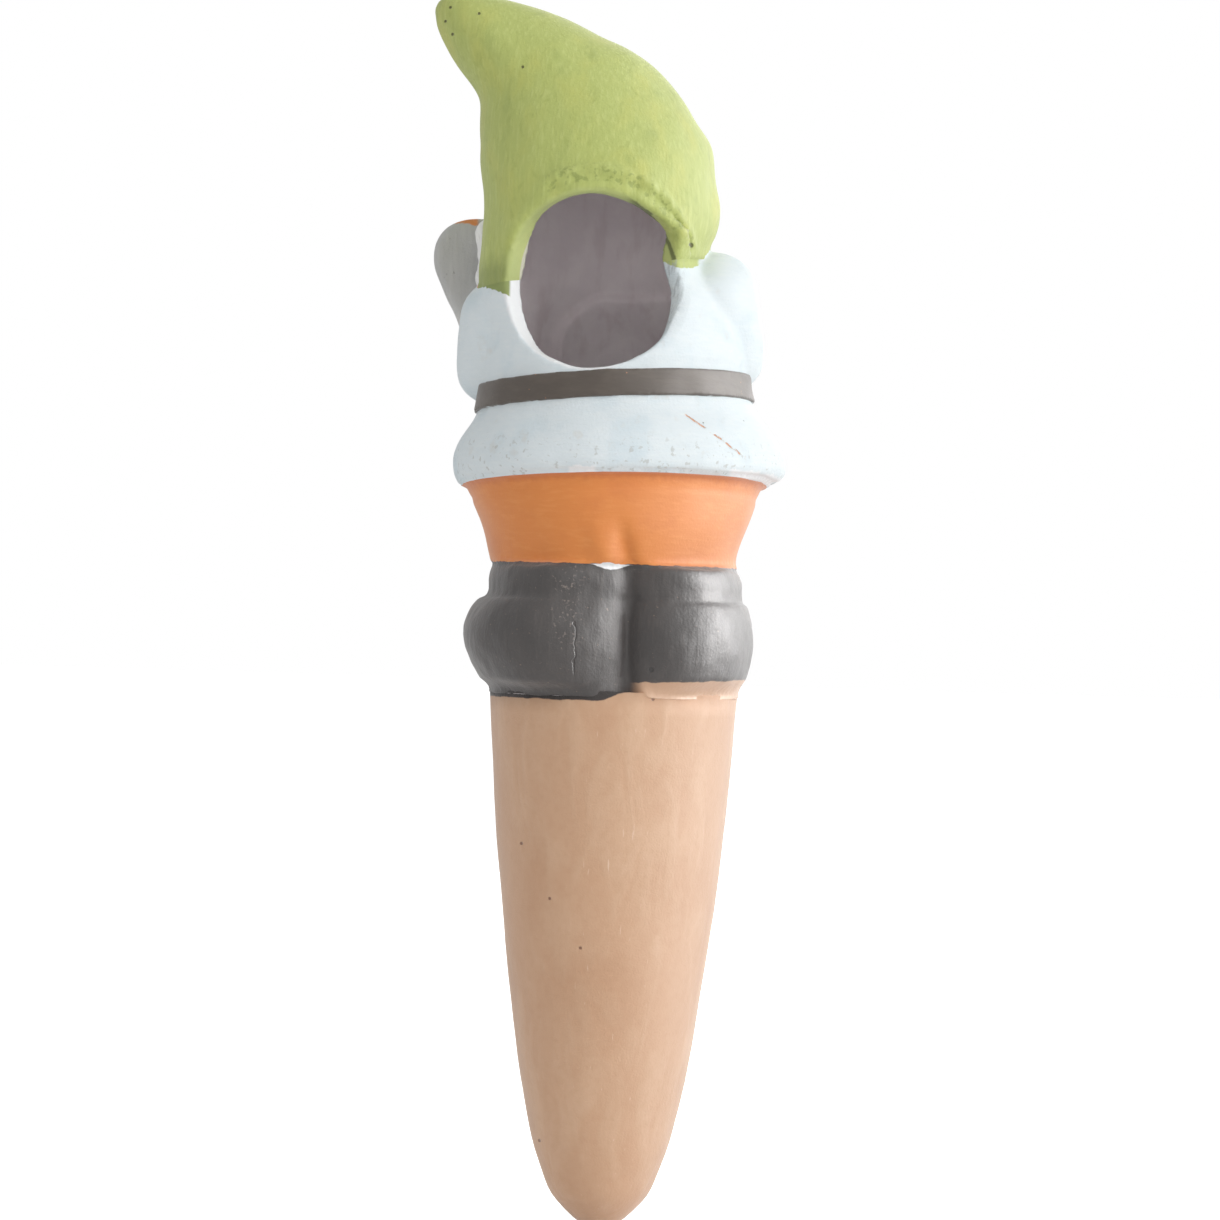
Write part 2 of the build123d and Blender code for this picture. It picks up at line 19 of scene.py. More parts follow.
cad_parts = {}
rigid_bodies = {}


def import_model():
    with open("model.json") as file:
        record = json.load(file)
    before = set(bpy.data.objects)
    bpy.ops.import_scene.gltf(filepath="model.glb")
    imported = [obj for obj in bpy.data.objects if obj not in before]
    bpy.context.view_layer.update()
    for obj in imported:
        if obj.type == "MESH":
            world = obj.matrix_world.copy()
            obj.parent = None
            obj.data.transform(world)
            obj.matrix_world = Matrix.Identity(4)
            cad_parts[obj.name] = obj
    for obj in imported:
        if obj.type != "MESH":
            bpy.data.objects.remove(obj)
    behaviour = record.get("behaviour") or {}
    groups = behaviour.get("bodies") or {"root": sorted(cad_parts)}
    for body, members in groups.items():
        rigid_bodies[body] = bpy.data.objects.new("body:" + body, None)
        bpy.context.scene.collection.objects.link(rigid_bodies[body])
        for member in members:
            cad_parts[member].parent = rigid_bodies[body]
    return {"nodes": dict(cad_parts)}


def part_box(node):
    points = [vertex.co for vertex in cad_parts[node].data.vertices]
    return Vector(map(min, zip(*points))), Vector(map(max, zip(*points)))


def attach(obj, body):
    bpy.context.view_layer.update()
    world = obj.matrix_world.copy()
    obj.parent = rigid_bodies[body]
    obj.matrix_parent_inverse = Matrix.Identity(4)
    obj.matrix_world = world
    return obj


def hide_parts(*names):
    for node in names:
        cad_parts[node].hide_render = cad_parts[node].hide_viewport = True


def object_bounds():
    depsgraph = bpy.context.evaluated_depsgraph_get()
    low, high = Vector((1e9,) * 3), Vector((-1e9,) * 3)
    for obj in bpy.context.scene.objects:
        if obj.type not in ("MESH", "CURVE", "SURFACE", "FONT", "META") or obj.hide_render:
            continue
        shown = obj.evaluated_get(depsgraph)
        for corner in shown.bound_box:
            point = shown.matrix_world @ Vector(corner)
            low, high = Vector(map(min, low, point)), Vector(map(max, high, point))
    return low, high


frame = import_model()
cad_box = [list(corner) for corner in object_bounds()]
MM = 0.001
print("CAD box in mm:", [[round(value / MM, 1) for value in corner] for corner in cad_box])

# %% [markdown]
# ## The camera
# The photograph looks straight at the figure's back, from the height of its hem, and the figure leans a little
# in the picture. A long lens from 80 cm away keeps the sides nearly parallel, as they are there. The lean is
# given by the camera's own up direction, so the object stays upright.

# %% Set up the camera
def put(name, data):
    """A new object in the scene, made of the data."""
    made = bpy.data.objects.new(name, data)
    bpy.context.scene.collection.objects.link(made)
    return made


DISTANCE = 0.8
aim = Vector((1.03, 0, 13.74)) * MM
roll = math.radians(1.64)
right = Vector((-math.cos(roll), 0, math.sin(roll)))
up = Vector((math.sin(roll), 0, math.cos(roll)))
camera_data = bpy.data.cameras.new("camera")
camera_data.lens = 137.2
camera_data.sensor_width = 36
camera = put("camera", camera_data)
turn = Matrix((right, up, Vector((0, 1, 0)))).transposed()
camera.matrix_world = Matrix.Translation(aim + Vector((0, DISTANCE, 0))) @ turn.to_4x4()
bpy.context.scene.camera = camera
bpy.context.scene.view_settings.view_transform = "Standard"
print("camera at", [round(value, 3) for value in camera.location])

# %% [markdown]
# ## Light
# The object was lit softly, with the stronger light on the right. A large square lamp there, a weaker one near
# the camera and a white surrounding give that. Small lamps would give hard shadows that the photograph hasn't.
# The pale haze along the right edge is a wide reflection, so its lamp is left out of the matt light and gives
# only shine. A lamp in front lights the face for whoever walks round the figure. The background is white
# because the camera sees a strength of 1 there, while the pieces are lit by less.

# %% Hang the lamps
def lamp(name, place, size, power, shine_only=False):
    light = bpy.data.lights.new(name, "AREA")
    light.shape = "SQUARE"
    light.size = size
    light.energy = power
    holder = put(name, light)
    holder.location = place
    holder.visible_diffuse = not shine_only
    holder.rotation_euler = (Vector((0, 0, 0.02)) - Vector(place)).to_track_quat("-Z", "Y").to_euler()
    print("lamp", name, power, "W")


lamp("key", (-0.72, 0.5, 0.4), 0.6, 4.5)
lamp("fill", (0.2, 0.95, 0.3), 0.6, 0.5)
lamp("front", (-0.35, -0.9, 0.45), 0.7, 5.0)
lamp("haze", (-0.88, 0.02, 0.12), 0.9, 42.0, shine_only=True)

# %% Make the white surrounding
world = bpy.data.worlds.new("surrounding")
bpy.context.scene.world = world
world.use_nodes = True
sky = world.node_tree
soft = sky.nodes["Background"]
SURROUNDING = 0.64
soft.inputs["Strength"].default_value = SURROUNDING
white = sky.nodes.new("ShaderNodeBackground")
white.inputs["Color"].default_value = (1, 1, 1, 1)
soft.inputs["Color"].default_value = (1, 1, 1, 1)
rays = sky.nodes.new("ShaderNodeLightPath")
seen = sky.nodes.new("ShaderNodeMath")
seen.operation = "MAXIMUM"
choose = sky.nodes.new("ShaderNodeMixShader")
sky.links.new(rays.outputs["Is Camera Ray"], seen.inputs[0])
sky.links.new(rays.outputs["Is Transmission Ray"], seen.inputs[1])
sky.links.new(seen.outputs[0], choose.inputs[0])
sky.links.new(soft.outputs[0], choose.inputs[1])
sky.links.new(white.outputs[0], choose.inputs[2])
sky.links.new(choose.outputs[0], sky.nodes["World Output"].inputs[0])
print("surrounding:", SURROUNDING, "on the clay, 1 to the camera")

# %% [markdown]
# ## Mixing the finishes
# Fired clay and thin matt paint are never one flat colour. Each finish below is a small network of noise and
# masks on Object coordinates, which are real places on the object, so a spot or a brush stroke has a size in
# millimetres, and a stain can run over two pieces without a break. A few short helpers keep the networks
# readable: each adds one node and returns its output.

# %% Helpers for finishes
HOLE_X, HOLE_Z = 5.7, 69.4
HOLE_HALF_WIDTH, HOLE_HALF_HEIGHT = 14.4, 14.85


def shade(red, green, blue):
    """A colour as a paint chart gives it, from 0 to 255, made linear."""
    def linear(value):
        value = value / 255
        return value / 12.92 if value <= 0.04045 else ((value + 0.055) / 1.055) ** 2.4
    return (linear(red), linear(green), linear(blue), 1)


class Finish:
    """One material while it is being mixed."""

    def __init__(self, name, roughness, gloss=0.4, sheen=0.0):
        self.material = bpy.data.materials.new(name)
        self.material.use_nodes = True
        self.tree = self.material.node_tree
        self.shader = self.tree.nodes["Principled BSDF"]
        self.shader.inputs["Roughness"].default_value = roughness
        self.shader.inputs["Specular IOR Level"].default_value = gloss
        self.shader.inputs["Sheen Weight"].default_value = sheen
        place = self.add("ShaderNodeTexCoord").outputs["Object"]
        scale = self.add("ShaderNodeVectorMath", operation="SCALE")
        self.link(place, scale.inputs[0])
        scale.inputs["Scale"].default_value = 1 / MM
        self.place = scale.outputs[0]
        axes = self.add("ShaderNodeSeparateXYZ")
        self.link(self.place, axes.inputs[0])
        self.x, self.y, self.z = axes.outputs

    def add(self, kind, **settings):
        node = self.tree.nodes.new(kind)
        for key, value in settings.items():
            setattr(node, key, value)
        return node

    def link(self, value, socket):
        if isinstance(value, bpy.types.NodeSocket):
            self.tree.links.new(value, socket)
        else:
            socket.default_value = value

    def work(self, operation, *values):
        node = self.add("ShaderNodeMath", operation=operation)
        for value, socket in zip(values, node.inputs):
            self.link(value, socket)
        return node.outputs[0]

    def fade(self, value, low, high):
        """0 below low, 1 above high and smooth between them, or the other way round where low is higher."""
        node = self.add("ShaderNodeMapRange", interpolation_type="SMOOTHSTEP")
        self.link(value, node.inputs["Value"])
        node.inputs["From Min"].default_value = low
        node.inputs["From Max"].default_value = high
        return node.outputs["Result"]

    def both(self, *masks):
        result = masks[0]
        for mask in masks[1:]:
            result = self.work("MULTIPLY", result, mask)
        return result

    def grain(self, size, detail=3.0, stretch=(1, 1, 1), turn=0.0, warp=0.0):
        """Cloudy noise from 0 to 1 with spots of a size in millimetres, drawn out by stretch."""
        mapping = self.add("ShaderNodeMapping")
        self.link(self.place, mapping.inputs["Vector"])
        mapping.inputs["Rotation"].default_value = (0, math.radians(turn), 0)
        mapping.inputs["Scale"].default_value = [1 / (size * share) for share in stretch]
        cloud = self.add("ShaderNodeTexNoise")
        self.link(mapping.outputs[0], cloud.inputs["Vector"])
        cloud.inputs["Scale"].default_value = 1
        cloud.inputs["Detail"].default_value = detail
        cloud.inputs["Distortion"].default_value = warp
        return cloud.outputs[0]

    def pits(self, spacing, radius, share):
        """Round pinholes: about one in a share of the cells of a loose grid."""
        cells = self.add("ShaderNodeTexVoronoi")
        self.link(self.place, cells.inputs["Vector"])
        cells.inputs["Scale"].default_value = 1 / spacing
        hole = self.fade(cells.outputs["Distance"], radius / spacing, 0.4 * radius / spacing)
        chance = self.add("ShaderNodeSeparateColor")
        self.link(cells.outputs["Color"], chance.inputs[0])
        return self.both(hole, self.fade(chance.outputs[0], 1 - share, 1.001 - share))

    def length(self, wide, high):
        """The long side of a triangle with the sides wide and high."""
        return self.work("SQRT", self.work("ADD", self.work("POWER", wide, 2), self.work("POWER", high, 2)))

    def distance(self, across, level, height=None):
        """How far a place is from a point, as seen from straight behind or in front."""
        height = self.z if height is None else height
        return self.length(self.work("SUBTRACT", self.x, across), self.work("SUBTRACT", height, level))

    def spot(self, across, level, radius):
        """A round spot on the back of the figure."""
        return self.both(self.fade(self.distance(across, level), radius, 0.5 * radius), self.fade(self.y, 0, 1))

    def above(self, level=0.0, by_x=0.0, by_y=0.0, ragged=0.0, size=1.2):
        """The height over a sloping line, in millimetres, made ragged by noise."""
        line = self.work("MULTIPLY_ADD", self.x, -by_x, self.z)
        line = self.work("MULTIPLY_ADD", self.y, -by_y, line)
        if ragged:
            wobble = self.work("SUBTRACT", self.grain(size, 4), 0.5)
            line = self.work("MULTIPLY_ADD", wobble, 2 * ragged, line)
        return self.work("SUBTRACT", line, level)

    def ring(self, half_width=HOLE_HALF_WIDTH, half_height=HOLE_HALF_HEIGHT):
        """1 on an oval round the middle of the fill hole, less inside it."""
        wide = self.work("DIVIDE", self.work("SUBTRACT", self.x, HOLE_X), half_width)
        high = self.work("DIVIDE", self.work("SUBTRACT", self.z, HOLE_Z), half_height)
        return self.length(wide, high)

    def over(self, under, mask, colour):
        """Lays a colour over another where the mask is 1."""
        node = self.add("ShaderNodeMix", data_type="RGBA")
        self.link(mask, node.inputs[0])
        self.link(under, node.inputs[6])
        self.link(colour, node.inputs[7])
        return node.outputs[2]

    def lay(self, colour, *masks):
        """Lays a paint over all that is there, where every mask is 1. A number among them thins the paint."""
        self.colour = self.over(self.colour, self.both(*masks), colour)

    def done(self, height, depth):
        """Plugs the colour in, and makes height, from 0 to 1, a relief of depth millimetres."""
        self.link(self.colour, self.shader.inputs["Base Color"])
        bump = self.add("ShaderNodeBump")
        bump.inputs["Distance"].default_value = depth * MM
        self.link(height, bump.inputs["Height"])
        self.link(bump.outputs[0], self.shader.inputs["Normal"])
        print("finish", self.material.name, len(self.tree.nodes), "nodes")
        return self.material


# %% [markdown]
# ## Bare terracotta
# The cone is unglazed clay: tan, with paler upright streaks where a wet sponge was drawn down it, soft darker
# clouds from the kiln, pale scratches and a few pinholes from air in the slip. A band of boot paint runs over
# its top edge, because the painter's brush didn't stop at the moulded line.

# %% Mix the clay and the shared paints
SEAM = dict(level=72.1, by_x=-0.1566)
BELT = dict(level=51.0, by_x=-0.0629, by_y=0.0454)
HEM = dict(level=35.1, by_x=-0.0262, by_y=0.0752)

clay_tan = shade(200, 160, 128)
clay_pale = shade(216, 184, 154)
clay_dark = shade(184, 138, 104)
clay_orange = shade(214, 138, 84)
primer = shade(236, 237, 238)
boot_dark = shade(50, 44, 42)


def boot_colour(mix):
    """Dark brown-grey paint with thin places, also where it runs onto the clay."""
    cloud = mix.fade(mix.grain(7, 4), 0.35, 0.7)
    colour = mix.over(boot_dark, mix.both(cloud, 0.5), shade(64, 57, 54))
    streak = mix.fade(mix.grain(0.7, 3, (1, 1, 7)), 0.52, 0.8)
    colour = mix.over(colour, mix.both(streak, 0.2), shade(100, 91, 85))
    speck = mix.fade(mix.grain(0.55, 2), 0.7, 0.76)
    return mix.over(colour, mix.both(speck, 0.6), shade(128, 108, 92))


mix = Finish("bare_terracotta", 0.7, 0.5, 0.35)
streaks = mix.fade(mix.grain(5, 6, (1, 1, 3), 3, 0.6), 0.4, 0.7)
mix.colour = clay_tan
mix.lay(clay_pale, streaks, 0.34)
clouds = mix.fade(mix.grain(13, 5, (1, 1, 1.7), 0, 0.5), 0.45, 0.75)
mix.lay(clay_dark, clouds, 0.4)
mottle = mix.fade(mix.grain(1.3, 5), 0.4, 0.7)
mix.lay(clay_dark, mottle, 0.14)
scratches = mix.fade(mix.grain(0.45, 2, (1, 1, 12), 5), 0.7, 0.78)
middle = mix.fade(mix.work("ABSOLUTE", mix.work("ADD", mix.x, 1)), 9, 3)
mix.lay(shade(240, 218, 196), scratches, middle, 0.4)
holes = mix.pits(6, 0.24, 0.1)
for across, level in ((14.9, -26.2), (9.8, -35.2), (4.4, -43.3), (10.5, -77.2), (-6.6, -1.0)):
    holes = mix.work("MAXIMUM", holes, mix.spot(across, level, 0.34))
mix.lay(shade(112, 70, 50), holes, 0.8)
left_of_cleft = mix.fade(mix.x, -3, 3)
spill = mix.work("MULTIPLY_ADD", left_of_cleft, 1.6, mix.above(0.1, 0, 0, 0.35, 2.5))
mix.lay(boot_colour(mix), mix.fade(spill, -0.1, 0.12))
fine = mix.grain(0.35, 4)
height = mix.work("MULTIPLY_ADD", holes, -2.0, mix.work("ADD", fine, streaks))
bare_terracotta = mix.done(height, 0.06)

# %% [markdown]
# ## Paints
# The paints are thin, matt and brushed on. The hat has fine streaks along its lean, the coat has pits, scuffs
# and a hairline crack, and white primer shows where the brush missed. Every mask is a real place on the object.

# %% Mix the hat's green
mix = Finish("hat_paint", 0.7, 0.3, 0.15)
streaks = mix.grain(0.55, 4, (1, 1, 9), -18)
mix.colour = shade(176, 186, 108)
mix.lay(shade(194, 203, 128), mix.fade(streaks, 0.45, 0.75), 0.55)
clouds = mix.fade(mix.grain(6, 4, (1, 1, 1.6), -18), 0.45, 0.75)
mix.lay(shade(190, 192, 104), clouds, 0.6)
dark = mix.fade(mix.grain(4, 5, (1, 1, 2), 20), 0.55, 0.8)
mix.lay(shade(150, 163, 92), dark, 0.6)
mottle = mix.fade(mix.grain(1.3, 5, (1, 1, 1.8), 35, 0.8), 0.5, 0.72)
mix.lay(shade(156, 166, 88), mottle, 0.35)
# Painted shade: a darker green low on the hat's left side, just over the coat, where shade falls.
painted_shade_low_left = mix.both(mix.fade(mix.x, 15, 19), mix.fade(mix.above(ragged=1.2, **SEAM), 6, 1.5))
mix.lay(shade(124, 136, 78), painted_shade_low_left, 0.55)
edge = mix.ring()
wobble = mix.work("MULTIPLY_ADD", mix.grain(1.8, 4), 0.05, mix.work("SUBTRACT", edge, 0.025))
back = mix.fade(mix.y, 6, 8)
rim = mix.both(mix.fade(wobble, 1.06, 1.0), back)
mix.lay(shade(182, 191, 124), rim, 0.75)
# Painted shade: darker green spots in the dented ridge round the hole, where shade falls in the dents.
dents = mix.both(
    mix.fade(edge, 1.09, 1.13), mix.fade(edge, 1.33, 1.27), mix.fade(mix.x, 16, 12), mix.fade(mix.z, 75, 79),
    mix.fade(mix.grain(0.9, 5), 0.52, 0.64), back,
)
mix.lay(shade(134, 146, 80), dents, 0.55)
right_side = mix.fade(mix.x, 1.0, -2.0)
inner = mix.ring(12.4, 14.5)
# Painted shadow: a thin dark line along the right edge of the fill hole, where the rim turns inwards.
line = mix.both(mix.fade(wobble, 1.03, 1.01), mix.fade(wobble, 0.96, 0.99), right_side, back)
mix.lay(shade(82, 88, 54), line, 0.8)
lip = mix.both(mix.fade(inner, 1.0, 0.98), back)
mix.lay(shade(206, 202, 190), lip, 0.8)
holes = mix.pits(5, 0.24, 0.08)
for across, level in ((31.3, 116.1), (32.1, 113.8), (26.3, 114.9), (30.8, 111.5), (18.5, 105.5)):
    holes = mix.work("MAXIMUM", holes, mix.spot(across, level, 0.3))
holes = mix.work("MAXIMUM", holes, mix.spot(-10.95, 76.0, 0.5))
mix.lay(shade(76, 74, 40), holes, 0.85)
height = mix.work("ADD", streaks, mix.work("MULTIPLY", mix.grain(0.4, 4), 0.8))
height = mix.work("MULTIPLY_ADD", holes, -2.0, height)
hat_paint = mix.done(height, 0.09)


# %% Mix the coat's pale blue
def belt_colour(mix):
    streak = mix.fade(mix.grain(1.2, 5, (4, 4, 1), 5), 0.4, 0.7)
    colour = mix.over(shade(82, 73, 65), mix.both(streak, 0.35), shade(98, 88, 78))
    worn = mix.fade(mix.grain(0.9, 4), 0.7, 0.76)
    return mix.over(colour, mix.both(worn, 0.8), shade(186, 128, 88))


mix = Finish("coat_paint", 0.8, 0.15, 0.0)
pale_blue = shade(218, 226, 229)
streaks = mix.grain(0.6, 4, (5, 5, 1), 8)
mix.colour = pale_blue
mix.lay(shade(224, 230, 231), mix.fade(streaks, 0.42, 0.72), 0.5)
clouds = mix.fade(mix.grain(7, 4), 0.48, 0.72)
mix.lay(shade(200, 215, 222), clouds, 0.5)
thin = mix.fade(mix.grain(3.5, 5), 0.6, 0.78)
mix.lay(shade(212, 210, 204), thin, 0.5)
low_band = mix.both(mix.fade(mix.z, 45, 40), mix.fade(mix.grain(1.0, 3), 0.6, 0.68))
mix.lay(shade(176, 176, 170), low_band, 0.5)

# %% Show primer at the coat's hem and crack its skirt
over_hem = mix.above(ragged=0.7, **HEM)
brushed = mix.both(mix.fade(mix.x, 3.8, 4.6), mix.fade(mix.x, 9, 8.2))
brushed = mix.work("MAXIMUM", mix.fade(mix.x, -18, -19), brushed)
missed = mix.both(mix.fade(over_hem, 1.2, 0.9), brushed, mix.fade(mix.y, -2, 2))
mix.lay(primer, missed, 0.9)
crack = mix.above(38.9, 0.66, 0, 0.35, 2)
crack = mix.work("ABSOLUTE", mix.work("SUBTRACT", crack, 15.1))
crack = mix.both(
    mix.fade(crack, 0.22, 0.1), mix.fade(mix.x, -21.2, -20.6), mix.fade(mix.x, -10.4, -11), mix.fade(mix.y, 0, 1),
    mix.fade(mix.z, 48.4, 48), mix.fade(mix.grain(1.5), 0.4, 0.5),
)
mix.lay(clay_orange, crack, 0.75)
tab = mix.both(
    mix.fade(mix.above(58.6, 0.4, 0, 0.6), -0.1, 0.1), mix.fade(mix.x, 19.3, 19.8), mix.fade(mix.y, -3, 0),
)

# %% Lay the hat's green where it spills, and finish the rim of the hole
lobe = mix.distance(-9.6, 76.6, mix.above(ragged=0.4))
lobe = mix.both(mix.fade(lobe, 4.7, 4.5), mix.fade(mix.y, 5, 7), mix.fade(mix.x, -13.9, -13.6))
mix.lay(shade(182, 192, 116), lobe, 0.95)
edge = mix.ring()
wobble = mix.work("MULTIPLY_ADD", mix.grain(1.5, 4), 0.06, mix.work("SUBTRACT", edge, 0.03))
back = mix.fade(mix.y, 5, 7)
rim = mix.both(mix.fade(wobble, 1.07, 1.03), back, mix.fade(mix.x, -2, 4))
mix.lay(primer, rim, 0.9)
right_side = mix.fade(mix.x, 2, -3)
scrape = mix.both(
    mix.fade(wobble, 1.13, 1.02), right_side, back, mix.fade(mix.z, 60, 63),
    mix.fade(mix.grain(0.7, 5, (1, 1, 3)), 0.46, 0.62),
)
mix.lay(shade(164, 170, 172), scrape, 0.5)
bottom = mix.both(mix.fade(mix.ring(12.6, 14.4), 1.01, 0.99), back, mix.fade(mix.z, 60, 57))
mix.lay(shade(138, 150, 84), tab, 0.95)
mix.lay(clay_orange, bottom, mix.fade(mix.grain(1.4, 4), 0.46, 0.54))
holes = mix.pits(3.4, 0.22, 0.12)
mix.lay(shade(120, 116, 112), holes, 0.6)
height = mix.work("ADD", streaks, mix.grain(0.45, 4))
height = mix.work("MULTIPLY_ADD", mix.work("MAXIMUM", holes, crack), -2.0, height)
coat_paint = mix.done(height, 0.08)

# %% Mix the raw inside
mix = Finish("raw_inside", 0.9, 0.2)
clouds = mix.fade(mix.grain(5, 4), 0.35, 0.7)
mix.colour = shade(230, 221, 223)
mix.lay(shade(240, 233, 233), clouds, 0.6)
runs = mix.fade(mix.grain(2.4, 4, (1, 1, 4), 12), 0.5, 0.72)
mix.lay(shade(204, 188, 190), runs, 0.35)
raw_inside = mix.done(mix.grain(1.2, 4), 0.12)

# %% Mix the trousers' orange
mix = Finish("trousers_paint", 0.7, 0.5, 0.4)
streaks = mix.grain(0.6, 4, (5, 5, 1), 4)
mix.colour = shade(218, 132, 62)
mix.lay(shade(226, 146, 76), mix.fade(streaks, 0.45, 0.75), 0.5)
clouds = mix.fade(mix.grain(6, 4), 0.5, 0.75)
mix.lay(shade(206, 118, 56), clouds, 0.5)
# Painted shadow: darker orange in a band just under the coat's hem.
hem_shadow = mix.fade(mix.above(ragged=0.8, **HEM), -1.6, -0.2)
mix.lay(shade(190, 100, 50), hem_shadow, 0.55)
near_boot = mix.above(21.3, 0, 0, 0.5, 2.2)
mix.lay(boot_colour(mix), mix.fade(near_boot, 0.2, 0.05))
from_middle = mix.work("ABSOLUTE", mix.work("SUBTRACT", mix.x, 1.2))
bare = mix.work("MULTIPLY_ADD", from_middle, 0.15, near_boot)
bare = mix.both(mix.fade(bare, 0.5, 0.35), mix.fade(mix.y, 0, 2))
mix.lay(primer, bare)
height = mix.work("ADD", streaks, mix.grain(0.4, 4))
trousers_paint = mix.done(height, 0.035)

# %% Mix the boots' brown
mix = Finish("boot_paint", 0.6, 1.0, 0.35)
mix.colour = boot_colour(mix)
scuff_zone = mix.both(mix.fade(mix.x, 5, 7), mix.fade(mix.x, 12, 9), mix.fade(mix.z, 6, 9), mix.fade(mix.y, 0, 2))
scuffs = mix.both(scuff_zone, mix.fade(mix.grain(0.55, 5), 0.57, 0.66))
mix.lay(shade(128, 116, 108), scuffs, 0.6)
wander = mix.work("SUBTRACT", mix.grain(2.5), 0.5)
crack = mix.work("ABSOLUTE", mix.work("MULTIPLY_ADD", wander, 1.6, mix.work("SUBTRACT", mix.x, 6.9)))
crack = mix.both(
    mix.fade(crack, 0.22, 0.08), mix.fade(mix.z, 2.5, 3.5), mix.fade(mix.z, 12, 11), mix.fade(mix.y, 0, 2),
)
mix.lay(shade(46, 38, 34), crack, 0.85)
spot = mix.spot(-6.1, 4.0, 0.6)
mix.lay(shade(36, 30, 28), spot)
bare_edge = mix.above(1.45, -0.04, 0, 0.35, 2.2)
bare_edge = mix.both(mix.fade(bare_edge, 0.2, 0.0), mix.fade(mix.x, -2.4, -5), mix.fade(mix.y, 0, 2))
mix.lay(clay_tan, bare_edge)
from_middle = mix.work("ABSOLUTE", mix.work("SUBTRACT", mix.x, 1.2))
bare_top = mix.work("MULTIPLY_ADD", from_middle, -0.3, mix.above(20.7, 0, 0, 0.4, 1.5))
bare_top = mix.both(mix.fade(bare_top, -0.4, -0.2), mix.fade(mix.y, 0, 2))
mix.lay(primer, bare_top)
height = mix.work("ADD", mix.grain(0.5, 4), mix.grain(0.7, 3, (1, 1, 7)))
height = mix.work("MULTIPLY_ADD", mix.work("MAXIMUM", spot, crack), -3.0, height)
boot_paint = mix.done(height, 0.06)

# %% Mix the belt's brown
mix = Finish("belt_paint", 0.68, 0.6, 0.3)
mix.colour = belt_colour(mix)
off_belt = mix.work("ABSOLUTE", mix.above(ragged=0.35, size=2.0, **BELT))
mix.lay(pale_blue, mix.fade(off_belt, 2.25, 2.45), 0.8)
belt_paint = mix.done(mix.grain(0.6, 4, (4, 4, 1)), 0.08)

# %% Mix skin and hair
MIDDLE = 4.5
mix = Finish("skin_paint", 0.62, 0.4, 0.1)
blush = mix.fade(mix.grain(4, 3), 0.4, 0.7)
mix.colour = shade(226, 178, 148)
mix.lay(shade(222, 160, 132), blush, 0.6)
for side in (-1, 1):
    distance = mix.distance(MIDDLE + side * 8.2, 77.4)
    cheek = mix.both(mix.fade(distance, 4.2, 0.5), mix.fade(mix.y, -8, -12))
    mix.lay(shade(214, 122, 98), cheek, 0.6)
skin_paint = mix.done(mix.grain(0.5, 4), 0.05)

mix = Finish("hair_paint", 0.75, 0.35, 0.15)
strands = mix.grain(0.5, 3, (1, 1, 8))
mix.colour = shade(236, 236, 234)
mix.lay(shade(206, 204, 200), mix.fade(strands, 0.5, 0.3), 0.5)
hair_paint = mix.done(strands, 0.12)

# %% Mix the spade's grey and its wood
mix = Finish("blade_paint", 0.6, 0.45, 0.1)
streaks = mix.grain(0.6, 4, (1, 1, 8), 10)
mix.colour = shade(182, 182, 180)
mix.lay(shade(194, 193, 190), mix.fade(streaks, 0.45, 0.7), 0.4)
# Painted light: the grey is made lighter towards the foot of the blade, where more light falls.
mix.lay(shade(214, 213, 210), mix.fade(mix.z, 72, 60), 0.6)
chip = mix.above(77.6, 0.1, 0, 1.0, 1.4)
chip = mix.both(mix.fade(chip, 0, 0.25), mix.fade(mix.x, 25.6, 26.4), mix.fade(mix.x, 30.6, 29.8))
mix.lay(clay_orange, chip)
wear = mix.fade(mix.grain(0.8, 4), 0.68, 0.74)
mix.lay(shade(112, 106, 102), wear, 0.6)
blade_paint = mix.done(mix.work("ADD", streaks, mix.grain(0.5, 4)), 0.08)

mix = Finish("shaft_paint", 0.7, 0.4)
rings = mix.grain(0.6, 4, (1, 1, 10), -16)
mix.colour = shade(134, 98, 64)
mix.lay(shade(164, 124, 84), mix.fade(rings, 0.4, 0.7))
shaft_paint = mix.done(rings, 0.1)

# %% Mix the eyes and the buckle
mix = Finish("eye_paint", 0.3, 0.5)
mix.colour = shade(240, 240, 238)
for side in (-1, 1):
    distance = mix.distance(MIDDLE + side * 5.4, 81.2)
    mix.lay(shade(92, 118, 138), mix.fade(distance, 0.95, 0.85))
    mix.lay(shade(24, 22, 22), mix.fade(distance, 0.5, 0.42))
eye_paint = mix.done(mix.grain(0.6), 0.02)

mix = Finish("buckle_paint", 0.45, 0.5)
wear = mix.fade(mix.grain(0.8, 4), 0.5, 0.7)
mix.colour = shade(196, 164, 84)
mix.lay(shade(150, 118, 60), wear, 0.7)
buckle_paint = mix.done(mix.grain(0.5, 4), 0.06)

# %% [markdown]
# ## Working the clay
# The frame's solids have the right sizes, so they are the clay to start from. A copy is merged into a closed
# skin, because the frame's own meshes are loose triangles. A voxel remesh then gives it small even faces, and a
# few rounds of smoothing wipe its edges soft, as a wet sponge does. Subdividing the loose triangles instead
# would keep every sharp edge and crease the surface.

# %% Helpers for clay
def clay(*names):
    """A merged copy of CAD nodes, in millimetres."""
    lump = bmesh.new()
    for name in names:
        lump.from_mesh(frame["nodes"][name].data)
    bmesh.ops.scale(lump, vec=(1 / MM, 1 / MM, 1 / MM), verts=lump.verts)
    bmesh.ops.remove_doubles(lump, verts=lump.verts, dist=0.01)
    return lump


